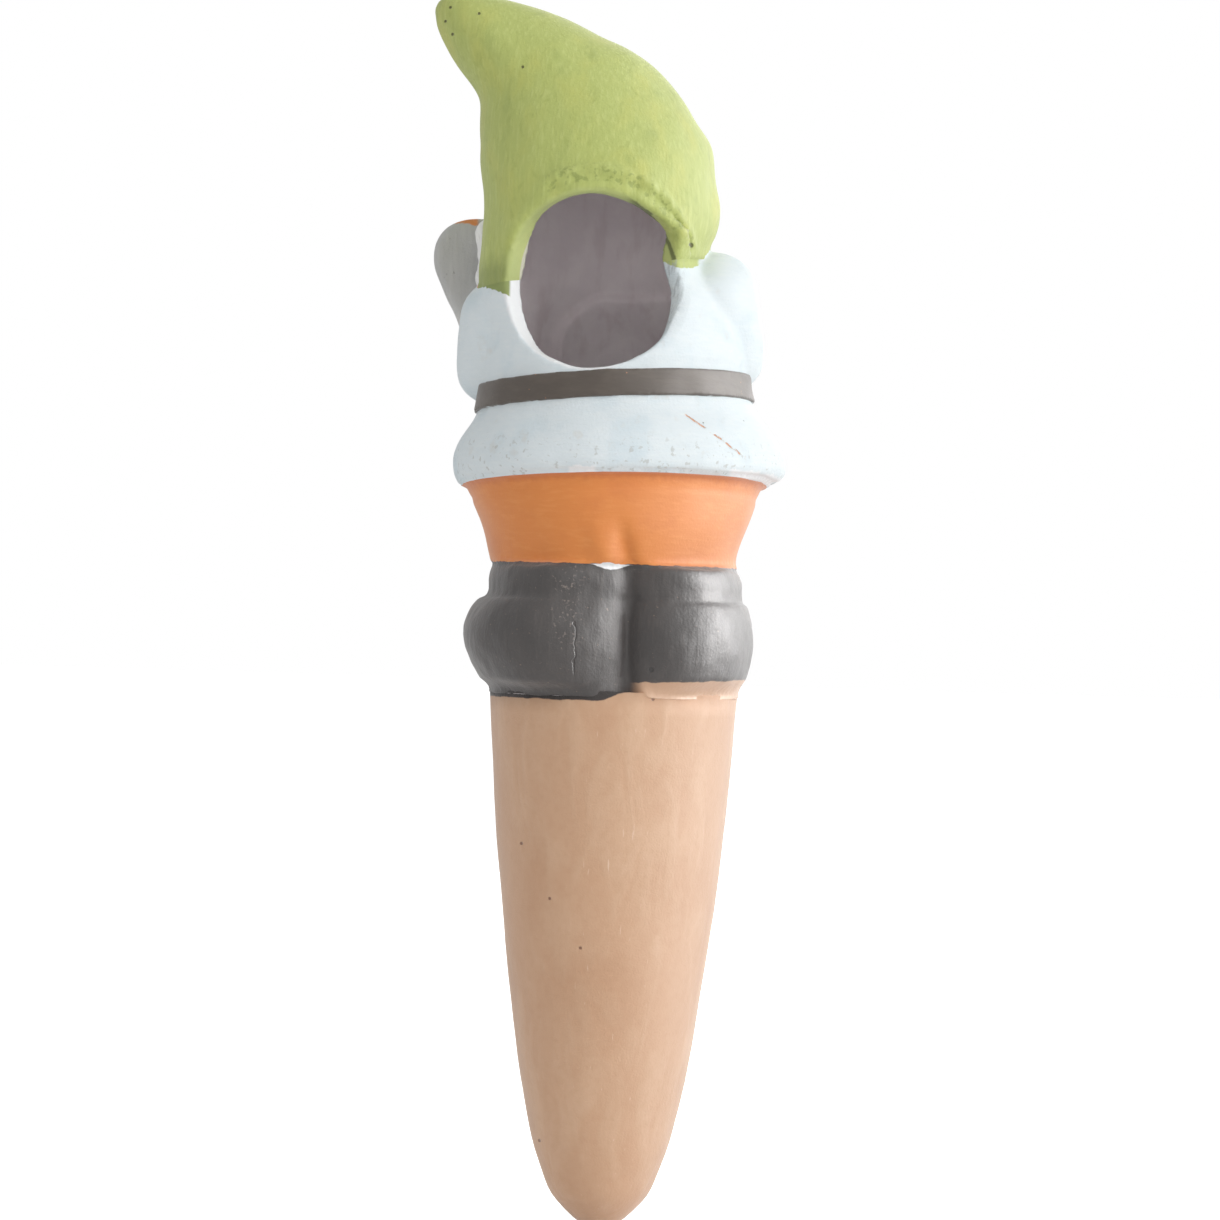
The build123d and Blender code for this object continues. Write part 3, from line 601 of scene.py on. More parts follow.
def wet(lump, grain, strokes):
    """Remeshes a lump into one skin with faces of a grain's size, and wipes its edges soft."""
    mesh = bpy.data.meshes.new("lump")
    lump.to_mesh(mesh)
    lump.free()
    holder = put("lump", mesh)
    remesh = holder.modifiers.new("remesh", "REMESH")
    remesh.mode = "VOXEL"
    remesh.voxel_size = grain
    finished = holder.evaluated_get(bpy.context.evaluated_depsgraph_get())
    skin = bmesh.new()
    skin.from_mesh(finished.to_mesh())
    finished.to_mesh_clear()
    bpy.data.objects.remove(holder)
    bpy.data.meshes.remove(mesh)
    wipe(skin, strokes)
    return skin


def wipe(skin, strokes):
    for _ in range(strokes):
        bmesh.ops.smooth_vert(
            skin, verts=skin.verts, factor=0.5, use_axis_x=True, use_axis_y=True, use_axis_z=True
        )
    skin.normal_update()


def press(skin, depth):
    """Moves each point along its own normal by depth(place, normal) millimetres."""
    moves = [(vert, vert.normal * depth(vert.co, vert.normal)) for vert in skin.verts]
    for vert, move in moves:
        vert.co += move
    skin.normal_update()


def bell(distance, width):
    """1 at no distance, falling smoothly to 0 at about twice the width."""
    return math.exp(-((distance / width) ** 2))


def step(value, low, high):
    share = min(max((value - low) / (high - low), 0), 1)
    return share * share * (3 - 2 * share)


def finger_marks(skin, height, size, seed):
    """Shallow uneven places, as fingers leave them."""
    shift = Vector((seed * 7.3, seed * 3.1, seed * 5.7))
    press(skin, lambda place, normal: height * noise.noise(place / size + shift))


def fillet(skin, neighbours, reach):
    """Swells a skin where it comes near its neighbours, so that the joint looks luted with slip."""
    trees = [BVHTree.FromBMesh(neighbour) for neighbour in neighbours]

    def swell(place, normal):
        most = 0
        for tree in trees:
            near, facing, _, distance = tree.find_nearest(place, reach)
            if near is None:
                continue
            if (place - near).dot(facing) < 0:
                distance = 0
            most = max(most, (reach - distance) ** 2 / (4 * reach))
        return most

    press(skin, swell)


# %% Helpers for rolled clay
def rolled(*coils):
    """Balls of clay along lines: each coil is a list of (place, radius), fused later by the remesh."""
    lump = bmesh.new()
    for coil in coils:
        for (start, start_radius), (end, end_radius) in zip(coil, coil[1:]):
            start, end = Vector(start), Vector(end)
            count = max(1, round((end - start).length / (0.22 * min(start_radius, end_radius))))
            for number in range(count + 1):
                share = number / count
                radius = start_radius + share * (end_radius - start_radius)
                ball = bmesh.ops.create_icosphere(lump, subdivisions=3, radius=radius)
                bmesh.ops.translate(lump, verts=ball["verts"], vec=start.lerp(end, share))
    return lump


def core(low, high, share, *names):
    """The filled shape of hollow pieces between two heights, drawn in to a share of its width."""
    filled = clay(*names)
    hull = bmesh.new()
    for vert in filled.verts:
        if low <= vert.co.z <= high:
            hull.verts.new(vert.co)
    wrapped = bmesh.ops.convex_hull(hull, input=hull.verts)
    spare = {item for item in wrapped["geom_interior"] if isinstance(item, bmesh.types.BMVert)}
    bmesh.ops.delete(hull, geom=list(spare), context="VERTS")
    bmesh.ops.recalc_face_normals(hull, faces=hull.faces)
    middle = sum((vert.co for vert in hull.verts), Vector()) / len(hull.verts)
    bmesh.ops.scale(hull, vec=(share, share, 1), space=Matrix.Translation(-middle), verts=hull.verts)
    hull.normal_update()
    return BVHTree.FromBMesh(hull)


def keep_out(skin, outward, limit=None):
    """Draws out to the middle of the wall whatever would reach through it into the water chamber."""
    outward = Vector(outward)
    limit = limit or figure_core
    for vert in skin.verts:
        near, facing, _, _ = limit.find_nearest(vert.co)
        if (vert.co - near).dot(facing) < 0:
            wall = limit.ray_cast(vert.co, outward)[0]
            vert.co = wall or near
    skin.normal_update()


def fire(name, skin, finishes, nodes, is_inside=None):
    """Turns a worked skin into a finished piece that rides with the body and stands for its CAD nodes."""
    for face in skin.faces:
        face.smooth = True
        if is_inside and is_inside(face.calc_center_median(), face.normal):
            face.material_index = 1
    low, high = cad_box
    for vert in skin.verts:
        vert.co = [min(max(value * MM, low[axis]), high[axis]) for axis, value in enumerate(vert.co)]
    kept = skin.verts.layers.float_vector.get("facing")
    facings = [vert[kept].copy() for vert in skin.verts] if kept else None
    mesh = bpy.data.meshes.new(name)
    skin.to_mesh(mesh)
    skin.free()
    if facings:
        mesh.normals_split_custom_set_from_vertices(facings)
    for finish in finishes:
        mesh.materials.append(finish)
    piece = put(name, mesh)
    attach(piece, "root")
    if nodes:
        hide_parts(*nodes)
    print("piece", name, len(mesh.polygons), "faces")
    return piece


figure_core = core(47, 88, 0.92, "coat_skirt", "coat_torso", "hat", "head")
shoulder_core = core(47, 88, 0.84, "coat_skirt", "coat_torso", "hat", "head")

# %% [markdown]
# ## The bare cone
# The cone is turned: its outline is drawn once and spun round the axis, which gives a clean round shape with few
# faces. The outline is a Bezier curve through a few measured points. The inside is drawn too, because the cone
# is hollow and its neck can be seen from above through the fill hole.

# %% Turn the cone
LENGTH, RADIUS = 92.6, 21.35
outer_points = [(1, 0), (0.94, 0.2), (0.857, 0.4), (0.763, 0.58), (0.63, 0.76), (0.49, 0.88), (0.34, 0.95), (0, 1)]


def drawn(points, resolution):
    """A smooth line through places (radius, height), as a list of points."""
    curve = bpy.data.curves.new("line", "CURVE")
    curve.dimensions = "3D"
    spline = curve.splines.new("BEZIER")
    spline.bezier_points.add(len(points) - 1)
    spline.resolution_u = resolution
    for knot, (radius, level) in zip(spline.bezier_points, points):
        knot.co = (radius, 0, level)
        knot.handle_left_type = knot.handle_right_type = "AUTO"
    last = spline.bezier_points[-1]
    last.handle_left_type = last.handle_right_type = "FREE"
    last.handle_left = last.co + Vector((2.6, 0, 0))
    last.handle_right = last.co - Vector((2.6, 0, 0))
    holder = bpy.data.objects.new("line", curve)
    mesh = bpy.data.meshes.new_from_object(holder)
    places = [vert.co.copy() for vert in mesh.vertices]
    bpy.data.objects.remove(holder)
    bpy.data.curves.remove(curve)
    bpy.data.meshes.remove(mesh)
    return places


outside = drawn([(share * RADIUS, -depth * LENGTH) for share, depth in outer_points], 5)
inside = drawn([(share * 13.65, -8 - depth * 77.6) for share, depth in outer_points], 3)
neck = [(13.65, 24.0), (17.05, 24.0), (17.05, 0.0)]
cone = bmesh.new()
places = list(reversed(inside)) + [Vector((radius, 0, level)) for radius, level in neck] + outside
line = [cone.verts.new(place) for place in places]
for start, end in zip(line, line[1:]):
    cone.edges.new((start, end))
bmesh.ops.spin(
    cone, geom=cone.verts[:] + cone.edges[:], cent=(0, 0, 0), axis=(0, 0, 1), angle=2 * math.pi, steps=128,
    use_merge=True,
)
bmesh.ops.remove_doubles(cone, verts=cone.verts, dist=0.01)
bmesh.ops.recalc_face_normals(cone, faces=cone.faces)
tall = [
    edge for edge in cone.edges
    if abs(edge.verts[0].co.z - edge.verts[1].co.z) > 1.2 and edge.verts[0].co.z < 0
]
bmesh.ops.subdivide_edges(cone, edges=tall, cuts=1)
cone.normal_update()
finger_marks(cone, 0.22, 16, 1)
finger_marks(cone, 0.05, 3.5, 2)
fire("spike_clay", cone, [bare_terracotta], ["spike"])

# %% [markdown]
# ## The cast body
# Boots, trousers, coat, sleeves, hat and head left the mould as one shell, so on the real object no joint shows
# between them, only lines and swellings. They are worked as one skin here too: the copies are joined and
# remeshed together, with a coil in the cleft of the boots so that it is a valley and not a slot. Piece by
# piece, the smoothing would round every edge and leave a dark gap at each joint.

# %% Roll the sleeves
arms = {
    "left": [[((21.2, 0, 63), 7.3), ((22.4, -2.2, 55), 6.5), ((23.1, -8.6, 55.7), 4.9)]],
    "right": [
        [((-15.5, 0, 68.3), 7.5), ((-17.9, -1.1, 58.4), 6.7), ((-11, -16.4, 59.1), 5.0)],
        [((-15.5, 0, 68.3), 7.4), ((-15.2, 3.6, 67.2), 6.0)],
    ],
}
sleeves = {}
for side, coils in arms.items():
    sleeve = wet(rolled(*coils), 0.5, 6)
    if side == "left":
        keep_out(sleeve, (1, 0, 0))
    else:
        keep_out(sleeve, (-1, 0, 0), shoulder_core)
    sleeves[side] = sleeve
print("sleeves:", {side: len(sleeve.verts) for side, sleeve in sleeves.items()}, "points")

# %% Join the shell and wet it
SHELLS = [
    "left_boot", "right_boot", "left_boot_cuff", "right_boot_cuff", "trousers", "coat_skirt", "coat_torso", "hat",
    "head",
]


def together(*skins):
    """One lump from several, still unfused."""
    joined = bmesh.new()
    for skin in skins:
        mesh = bpy.data.meshes.new("part")
        skin.to_mesh(mesh)
        joined.from_mesh(mesh)
        bpy.data.meshes.remove(mesh)
    return joined


shells = [clay(name) for name in SHELLS]
bare = together(*shells)
shell_tree = BVHTree.FromBMesh(bare)
arm_trees = {side: BVHTree.FromBMesh(sleeve) for side, sleeve in sleeves.items()}
roots = rolled(*[[((-2.2, depth, 0.5), 2.3), ((-2.2, depth, 20.6), 2.3)] for depth in (17.0, -17.0)])
cast = wet(together(bare, roots, *sleeves.values()), 0.5, 6)
for spare in [bare, roots, *shells, *sleeves.values()]:
    spare.free()
print("cast body:", len(cast.verts), "points")

# %% [markdown]
# ## Pressing and cutting the body
# On the real body the mould gave the folds, the cleft and the lines at the cuffs. Here every point of the skin
# asks which piece it belongs to, by the planes that part the frame's solids, and is moved by that piece's marks.
# The skin is pressed in one go and cut along the same planes only then. So each piece can be changed or taken
# off alone, and still its edge fits the next one exactly.

# %% Find the way on the body
CLEFT_X = -2.2


def plane(level, by_x=0, by_y=0):
    """The plane that a sloping line of the finishes lies in: a point on it and the way that it faces."""
    return Vector((0, 0, level)), Vector((-by_x, -by_y, 1)).normalized()


PLANES = {
    "boot": plane(15.4), "cuff": plane(21.4), "cleft": (Vector((CLEFT_X, 0, 0)), Vector((1, 0, 0))),
    "hem": plane(**HEM), "belt": plane(**BELT), "seam": plane(**SEAM), "brim": plane(71.1, by_y=-0.946),
}
print("planes between the pieces:", ", ".join(PLANES))


def hole_share(place):
    """How far a place is from the middle of the fill hole, where 1 is on its edge."""
    return math.hypot((place.x - HOLE_X) / HOLE_HALF_WIDTH, (place.z - HOLE_Z) / HOLE_HALF_HEIGHT)


def over(name, place):
    """How far a place lies on the upper side of a plane, in millimetres."""
    middle, facing = PLANES[name]
    return (place - middle).dot(facing)


def sleeve_at(place):
    """The side of the sleeve that a place lies on, or nothing."""
    for side, tree in arm_trees.items():
        to_arm = tree.find_nearest(place, 2.5)[3]
        if to_arm is not None and to_arm < shell_tree.find_nearest(place)[3]:
            return side
    return None


def part_at(place):
    """The name of the frame's solid that a place belongs to."""
    arm = sleeve_at(place)
    if arm:
        return arm + "_sleeve"
    side = "left" if over("cleft", place) > 0 else "right"
    tops = {
        "boot": side + "_boot", "cuff": side + "_boot_cuff", "hem": "trousers", "belt": "coat_skirt",
        "seam": "coat_torso",
    }
    for top, part in tops.items():
        if over(top, place) < 0:
            return part
    return "head" if over("brim", place) < 0 else "hat"


def within(place, normal):
    """Whether a place is on the wall of the water chamber."""
    if place.z > 101.6:
        return False
    out_x = place.x - 1 - 3.5 * step(place.z, 55, 80) - 5 * step(place.z, 85, 105)
    reach = math.hypot(out_x, place.y)
    if normal.z < -0.2 and reach < 13 and place.z > 76:
        return True
    if normal.x * out_x + normal.y * place.y > -0.3 * reach:
        return False
    near_hole = place.y > 5 and hole_share(place) < 1.2
    return normal.y < -0.3 if near_hole else True


# %% Level the sole and lean the rim of the hole
FLUSH = 21.4
for vert in cast.verts:
    vert.co.z -= 0.9 * step(vert.co.z, 1.3, 0.2)
    if vert.co.y > 6 and hole_share(vert.co) < 1.15:
        lean = bell(vert.co.z - 63.5, 4) - 1.5 * bell(vert.co.z - 77.5, 3.5)
        vert.co.x += lean * step(vert.co.x, -1, -5)
    reach = math.hypot(vert.co.x, vert.co.y)
    if reach > FLUSH and vert.co.y > -8:
        flush = FLUSH + (reach - FLUSH) * step(vert.co.z, -0.2, 2.6 if vert.co.x < CLEFT_X else 1.6)
        vert.co.x, vert.co.y = vert.co.x * flush / reach, vert.co.y * flush / reach
cast.normal_update()
print("flush with the cone below", FLUSH, "mm")


# %% Marks of the chamber, the boots and the trousers
def chamber_marks(place):
    """The mould's inner swelling behind the chest, with a flat top on the right."""
    edge = 12.3 - 0.1 * max(0, place.z - 60) ** 2
    mound = step(place.z, 69.3, 68.3) * step(place.x, edge + 1.2, edge - 1.2) * step(place.y, -6, -12)
    return 1.2 * mound * step(place.z, 50, 56) + 0.25 * noise.noise(place / 5)


def boot_marks(place):
    behind = step(place.y, 6, 12)
    cuff = -0.35 * step(place.z, 15, 17) * (1 - bell(place.x + 2.2, 3))
    line = -0.3 * bell(place.z - 15.6, 0.45) * (0.35 + 0.65 * step(place.x, 2, -4))
    ankle = -0.5 * bell(place.z - 11.5, 1.0) * step(place.y, -4, -10)
    sole = -0.35 * bell(place.z - 2.0, 0.4) * step(place.y, -6, -12)
    pillow = 0.35 * bell(place.z - 7.5, 5) * bell(abs(place.x + 2.2) - 9, 6) * behind
    return cuff + line + ankle + sole + pillow + 0.3 * noise.noise(place / 7) + 0.1 * noise.noise(place / 2)


def trousers_marks(place):
    front = -0.9 * bell(place.x - 0.5, 1.6) * step(place.y, -15, -19) * step(place.z, 33, 26)
    lean = place.x + 2.0 - 0.22 * (place.z - 21)
    back = -1.1 * bell(lean, 1.4) * step(place.y, 15, 19) * step(place.z, 31, 23)
    mound = 0.6 * bell(lean - 4.2, 2.2) * bell(place.z - 24.5, 3.5) * step(place.y, 15, 19)
    ledge = -0.2 * bell(over("hem", place) + 2.3, 0.6)
    return front + back + mound + ledge + 0.25 * noise.noise(place / 8)


# %% Marks of the coat and its sleeves
def skirt_marks(place):
    around = math.atan2(place.y, place.x)
    drape = 0.3 * math.sin(7 * around + 1.3) * step(place.z, 48, 38) * step(place.y, 4, -4)
    opening = -0.5 * bell(place.x - 1.5, 0.7) * step(place.y, -12, -18)
    return drape + opening - 0.6 * step(over("hem", place), 2.4, 0) + 0.25 * noise.noise(place / 7)


def coat_marks(place):
    tuck = -0.25 * bell(over("belt", place) - 3.2, 0.8)
    return tuck + 0.25 * noise.noise(place / 9) + 0.06 * noise.noise(place / 2.2)


def sleeve_marks(place):
    folds = bell(place.z + place.y * 0.6 - 57, 0.7) + 0.8 * bell(place.z + place.y * 0.9 - 52, 0.6)
    return -0.4 * folds * step(-place.y, 1, 6) + 0.25 * noise.noise(place / 6)


# %% Marks of the hat and the head
def hat_marks(place):
    proud = 0.4 * step(min(over("seam", place), over("brim", place)), -0.2, 0.5) * step(place.z, 118, 108)
    proud -= 0.6 * step(place.x, 19, 23) * step(place.z, 92, 84)
    ring = hole_share(place)
    dents = 1 + 1.2 * noise.noise(place / 1.1)
    ridge = 0.5 * dents * bell(15 * (ring - 1.25), 0.7) - 0.35 * dents * bell(15 * (ring - 1.15), 0.8)
    ridge *= step(place.y, 2, 6) * step(place.x, 16, 12) * step(place.z, 74, 78)
    fold = -0.6 * bell(place.x + 14.6 + 0.1 * (place.z - 88), 1.3) * bell(place.z - 89, 6) * step(place.y, -6, 2)
    lumps = 0.35 * noise.noise(place / 10) + 0.12 * noise.noise(place / 4 + Vector((9, 2, 5)))
    return proud + ridge + fold + lumps * step(place.z, 119, 112)


def head_marks(place):
    across = abs(place.x - MIDDLE)
    socket = -0.7 * bell(math.hypot(across - 5.3, place.z - 81.5), 2.6)
    cheek = 1.0 * bell(math.hypot(across - 8.2, place.z - 77.0), 3.6)
    brow = 0.5 * bell(place.z - 84.6, 1.2) * bell(across - 5, 4)
    return socket + cheek + brow + 0.08 * noise.noise(place / 3)


# %% Press the marks
MARKS = {
    "trousers": trousers_marks, "coat_skirt": skirt_marks, "coat_torso": coat_marks, "hat": hat_marks,
    "head": head_marks, "left_sleeve": sleeve_marks, "right_sleeve": sleeve_marks,
}


def marks(place, normal):
    if within(place, normal):
        return chamber_marks(place)
    return MARKS.get(part_at(place), boot_marks)(place)


press(cast, marks)
wipe(cast, 1)
print("pressed:", len(cast.verts), "points")

# %% Roll the nose and lute it on
nose = wet(rolled(
    [((MIDDLE, -17.6, 81.6), 1.3), ((MIDDLE, -19.4, 79.2), 2.0), ((MIDDLE, -20.2, 77.7), 2.9)],
    [((MIDDLE - 2.1, -18.9, 77.0), 1.5), ((MIDDLE + 2.1, -18.9, 77.0), 1.5)],
), 0.3, 5)
keep_out(nose, (0, -1, 0))
fillet(nose, [cast], 2.4)
fillet(cast, [nose], 2.4)
fire("nose_clay", nose, [skin_paint], ["nose"])


# %% Cut the body into its pieces
def score(skin, name, reach=1.5, top=200):
    """Cuts edges into the skin along a plane, where that plane parts two pieces."""
    near = [
        face for face in skin.faces
        if abs(over(name, face.calc_center_median())) < reach and face.calc_center_median().z < top
    ]
    lines = {edge for face in near for edge in face.edges}
    points = {vert for face in near for vert in face.verts}
    middle, facing = PLANES[name]
    bmesh.ops.bisect_plane(skin, geom=[*points, *lines, *near], dist=0.001, plane_co=middle, plane_no=facing)


for name in PLANES:
    score(cast, name, top=21.5 if name == "cleft" else 200)
cast.normal_update()
facing_layer = cast.verts.layers.float_vector.new("facing")
for vert in cast.verts:
    vert[facing_layer] = vert.normal
cast.faces.ensure_lookup_table()
belongs = [part_at(face.calc_center_median()) for face in cast.faces]
paints = {
    "boot_paint": (boot_paint, ["left_boot", "right_boot", "left_boot_cuff", "right_boot_cuff"]),
    "trousers_paint": (trousers_paint, ["trousers"]),
    "coat_paint": (coat_paint, ["coat_skirt", "coat_torso", "left_sleeve", "right_sleeve"]),
    "hat_paint": (hat_paint, ["hat"]),
    "skin_paint": (skin_paint, ["head"]),
}
for name, slot, paint in [(name, slot, paint) for slot, (paint, names) in paints.items() for name in names]:
    piece = cast.copy()
    piece.faces.ensure_lookup_table()
    others = [piece.faces[number] for number, part in enumerate(belongs) if part != name]
    bmesh.ops.delete(piece, geom=others, context="FACES")
    is_inside = None if "sleeve" in name else within
    fire(name + "_clay", piece, [paint, raw_inside], [name], is_inside)
cast.free()

# %% [markdown]
# ## The belt
# The belt is a thin band of clay laid on the coat. The frame's band is only as thick as it stands out, so four
# copies, each a little narrower, are fused to give it a root in the wall. Its edges stay uneven, as brushed.

# %% Lay the belt
rings = [clay("belt") for _ in range(4)]
for ring, share in zip(rings, (1.0, 0.985, 0.97, 0.955)):
    bmesh.ops.scale(ring, vec=(share, share, 1), verts=ring.verts)
belt = wet(together(*rings), 0.32, 4)
finger_marks(belt, 0.18, 5, 13)
fire("belt_clay", belt, [belt_paint], ["belt"])


# %% Make the buckle
def plate(width, height, thickness, rim, place, tilt, corner):
    """A small plate with a raised rim, facing -Y: a flat grid, inset and drawn out, with bevelled edges."""
    made = bmesh.new()
    bmesh.ops.create_grid(made, x_segments=1, y_segments=1, size=0.5)
    bmesh.ops.scale(made, vec=(width, height, 1), verts=made.verts)
    bmesh.ops.bevel(
        made, geom=made.verts[:], offset=corner, segments=5, profile=0.5, affect="VERTICES", material=-1
    )
    back = bmesh.ops.extrude_face_region(made, geom=made.faces[:])
    lifted = [item for item in back["geom"] if isinstance(item, bmesh.types.BMVert)]
    bmesh.ops.translate(made, verts=lifted, vec=(0, 0, thickness))
    made.normal_update()
    top = max(made.faces, key=lambda face: face.calc_center_median().z)
    bmesh.ops.inset_region(made, faces=[top], thickness=rim, depth=0)
    bmesh.ops.translate(made, verts=top.verts[:], vec=(0, 0, -0.5 * thickness))
    bmesh.ops.recalc_face_normals(made, faces=made.faces)
    sharp = [edge for edge in made.edges if edge.is_manifold and edge.calc_face_angle() > 0.7]
    bmesh.ops.bevel(made, geom=sharp, offset=0.25, segments=3, profile=0.5, affect="EDGES", material=-1)
    turn = Matrix.Rotation(math.radians(tilt), 4, "Y") @ Matrix.Rotation(math.radians(90), 4, "X")
    bmesh.ops.transform(made, matrix=Matrix.Translation(place) @ turn, verts=made.verts)
    return made


low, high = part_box("belt_buckle")
middle = (low + high) / (2 * MM)
buckle = plate(9.4, 7.0, 2.4, 1.5, (middle.x, high.y / MM + 0.2, middle.z), 3.6, 1.4)
prong_root = (middle.x - 2.6, low.y / MM + 0.5, middle.z + 0.2)
prong_tip = (middle.x + 3.4, low.y / MM + 0.3, middle.z - 0.3)
prong = wet(rolled([(prong_root, 0.55), (prong_tip, 0.5)]), 0.2, 3)
fire("belt_buckle_frame", buckle, [buckle_paint], ["belt_buckle"])
fire("belt_buckle_prong", prong, [buckle_paint], [])

# %% [markdown]
# ## Hands
# Each cuff is a short turned ring with a hollow for the wrist. The hands can't be simple balls: the left one
# closes round the spade's shaft and the right one lies on the belly. Rolled fingers give both with the same
# helper, and the fine remesh keeps the gaps between them.

# %% Turn the sleeve cuffs
def cuff_ring(middle, along, radius):
    ring = bmesh.new()
    bmesh.ops.create_cone(ring, cap_ends=True, segments=40, radius1=radius * 0.94, radius2=radius, depth=3.4)
    top = max(ring.faces, key=lambda face: face.calc_center_median().z)
    bmesh.ops.inset_region(ring, faces=[top], thickness=1.1, depth=0)
    bmesh.ops.translate(ring, verts=top.verts[:], vec=(0, 0, -1.2))
    turn = Vector(along).to_track_quat("Z", "Y").to_matrix().to_4x4()
    bmesh.ops.transform(ring, matrix=Matrix.Translation(middle) @ turn, verts=ring.verts)
    return wet(ring, 0.35, 4)


left_cuff = cuff_ring((23.17, -9.68, 55.77), (1.4, -13.6, 1.4), 5.5)
right_cuff = cuff_ring((-9.95, -18.7, 59.15), (10.6, -23.5, 1.0), 5.65)
for side, skin in (("left", left_cuff), ("right", right_cuff)):
    finger_marks(skin, 0.2, 4, 15)
    keep_out(skin, (0, -1, 0))
    fire(side + "_sleeve_cuff_clay", skin, [coat_paint], [side + "_sleeve_cuff"])

# %% Roll the hands
grip, blade_foot = Vector((17.2, -22.9, 34.3)), Vector((25.5, -14, 62))
left_palm, right_palm = Vector((23.8, -15.8, 56.4)), Vector((-7.3, -24.6, 59.4))
along = (blade_foot - grip).normalized()
forward = (Vector((0, -1, 0)) - along * -along.y).normalized()
sideways = along.cross(forward)
coils = [[(left_palm - forward * 1.6 - along * 1.8, 2.9), (left_palm - forward * 1.6 + along * 1.8, 2.9)]]
coils.append([((23.2, -10.6, 55.9), 3.2), (left_palm - forward * 1.2, 3.0)])
for number in range(4):
    middle = left_palm + along * (2.05 * (number - 1.5))
    coils.append([
        (middle + (forward * math.cos(angle) + sideways * math.sin(angle)) * 3.1, 1.2)
        for angle in [math.radians(degrees) for degrees in range(-125, 126, 25)]
    ])
thumb_tip = left_palm + sideways * -1.5 + forward * 2.6 + along * 4.2
coils.append([(left_palm + sideways * -3.0 + along * 3, 1.3), (thumb_tip, 1.1)])
left_hand = wet(rolled(*coils), 0.3, 4)

coils = [[((-9.0, -20.8, 59.2), 3.3), ((-7.2, -23.6, 59.2), 3.5), ((-5.2, -24.6, 59.0), 3.1)]]
for number in range(4):
    level = 56.6 + 1.75 * number
    coils.append([
        ((-5.6, -26.2, level), 1.25), ((-3.4, -26.0, level - 0.3), 1.15), ((-1.6, -25.0, level - 0.6), 1.0)
    ])
coils.append([((-7.6, -24.8, 62.0), 1.5), ((-5.4, -25.2, 64.0), 1.2), ((-3.8, -24.4, 64.8), 1.0)])
right_hand = wet(rolled(*coils), 0.3, 4)
for side, skin in (("left", left_hand), ("right", right_hand)):
    keep_out(skin, (0, -1, 0))
    fire(side + "_hand_clay", skin, [skin_paint], [side + "_hand"])

# %% [markdown]
# ## The face
# The photograph shows only the back, so the face is a plain, calm one of common proportions: eyes half-way
# between brow and nose tip, a soft round nose, and cheeks that swell beside it. The head is pressed from the
# frame's clay, and the rest is rolled on. Beard, moustache and hair get grooves that follow their fall, cut
# into the shape, because a bump alone would leave their outline smooth.

# %% Set the eyes
for side, sign in (("left", 1), ("right", -1)):
    centre = Vector((MIDDLE + sign * 5.4, -17.9, 81.2))
    eye = bmesh.new()
    bmesh.ops.create_uvsphere(eye, u_segments=40, v_segments=24, radius=2.0)
    bmesh.ops.scale(eye, vec=(1.05, 0.9, 0.86), verts=eye.verts)
    bmesh.ops.translate(eye, verts=eye.verts, vec=centre)
    fire(side + "_eye_ball", eye, [eye_paint], [side + "_eye"])
    lids = []
    for lid, lift in (("upper", 1), ("lower", -1)):
        coil = []
        for degrees in range(-75, 76, 15):
            angle = math.radians(degrees)
            reach = Vector((2.15 * math.sin(angle), -1.75 * math.cos(angle), lift * (0.45 + 1.0 * math.cos(angle))))
            coil.append((centre + reach, 0.5 if lift > 0 else 0.36))
        lids.append(coil)
    lid_skin = wet(rolled(*lids), 0.2, 3)
    keep_out(lid_skin, (0, -1, 0))
    fire(side + "_eyelids", lid_skin, [skin_paint], [])


# %% Roll the beard, moustache, brows and hair
def combed(skin, root, spacing, depth):
    """Cuts grooves that fan out from a root, as hair falls from it."""
    root = Vector(root)

    def groove(place, normal):
        fall = math.atan2(place.x - root.x, root.z - place.z)
        reach = max(4.0, math.hypot(place.x - root.x, root.z - place.z))
        wave = 0.5 * noise.noise(place / 4) + 0.25 * noise.noise(place / 1.6)
        turn = fall * root.length_squared ** 0.5 / spacing * 0.16
        return depth * (math.sin(2 * math.pi * (turn + wave)) * min(1, reach / 8) - 0.3)

    press(skin, groove)


beard = wet(rolled(
    [((MIDDLE, -12.6, 66), 12), ((MIDDLE, -21.2, 57), 3.2), ((MIDDLE + 0.6, -21.9, 55.0), 2.0)],
    [((MIDDLE - 6, -16.5, 64), 6), ((MIDDLE - 2.6, -21.6, 57.4), 2.2)],
    [((MIDDLE + 6, -16.5, 64), 6), ((MIDDLE + 3.4, -21.4, 57.0), 2.2)],
), 0.4, 4)
keep_out(beard, (0, -1, 0))
combed(beard, (MIDDLE, 0, 86), 1.5, 0.42)
fire("beard_clay", beard, [hair_paint], ["beard"])

moustache = wet(rolled(*[
    [
        ((MIDDLE + sign * 0.9, -21.6, 74.9), 1.9), ((MIDDLE + sign * 4, -21.6, 74.2), 2.2),
        ((MIDDLE + sign * 7.6, -20.2, 72.2), 1.5), ((MIDDLE + sign * 9.6, -18.9, 72.0), 0.8),
    ]
    for sign in (-1, 1)
]), 0.3, 3)
combed(moustache, (MIDDLE, 0, 79), 1.2, 0.22)
fire("moustache_clay", moustache, [hair_paint], ["moustache"])
lip = wet(rolled([
    ((MIDDLE - 1.9, -23.4, 71.7), 0.8), ((MIDDLE, -23.9, 71.4), 1.0), ((MIDDLE + 1.9, -23.4, 71.7), 0.8)
]), 0.25, 3)
fire("lower_lip", lip, [skin_paint], [])

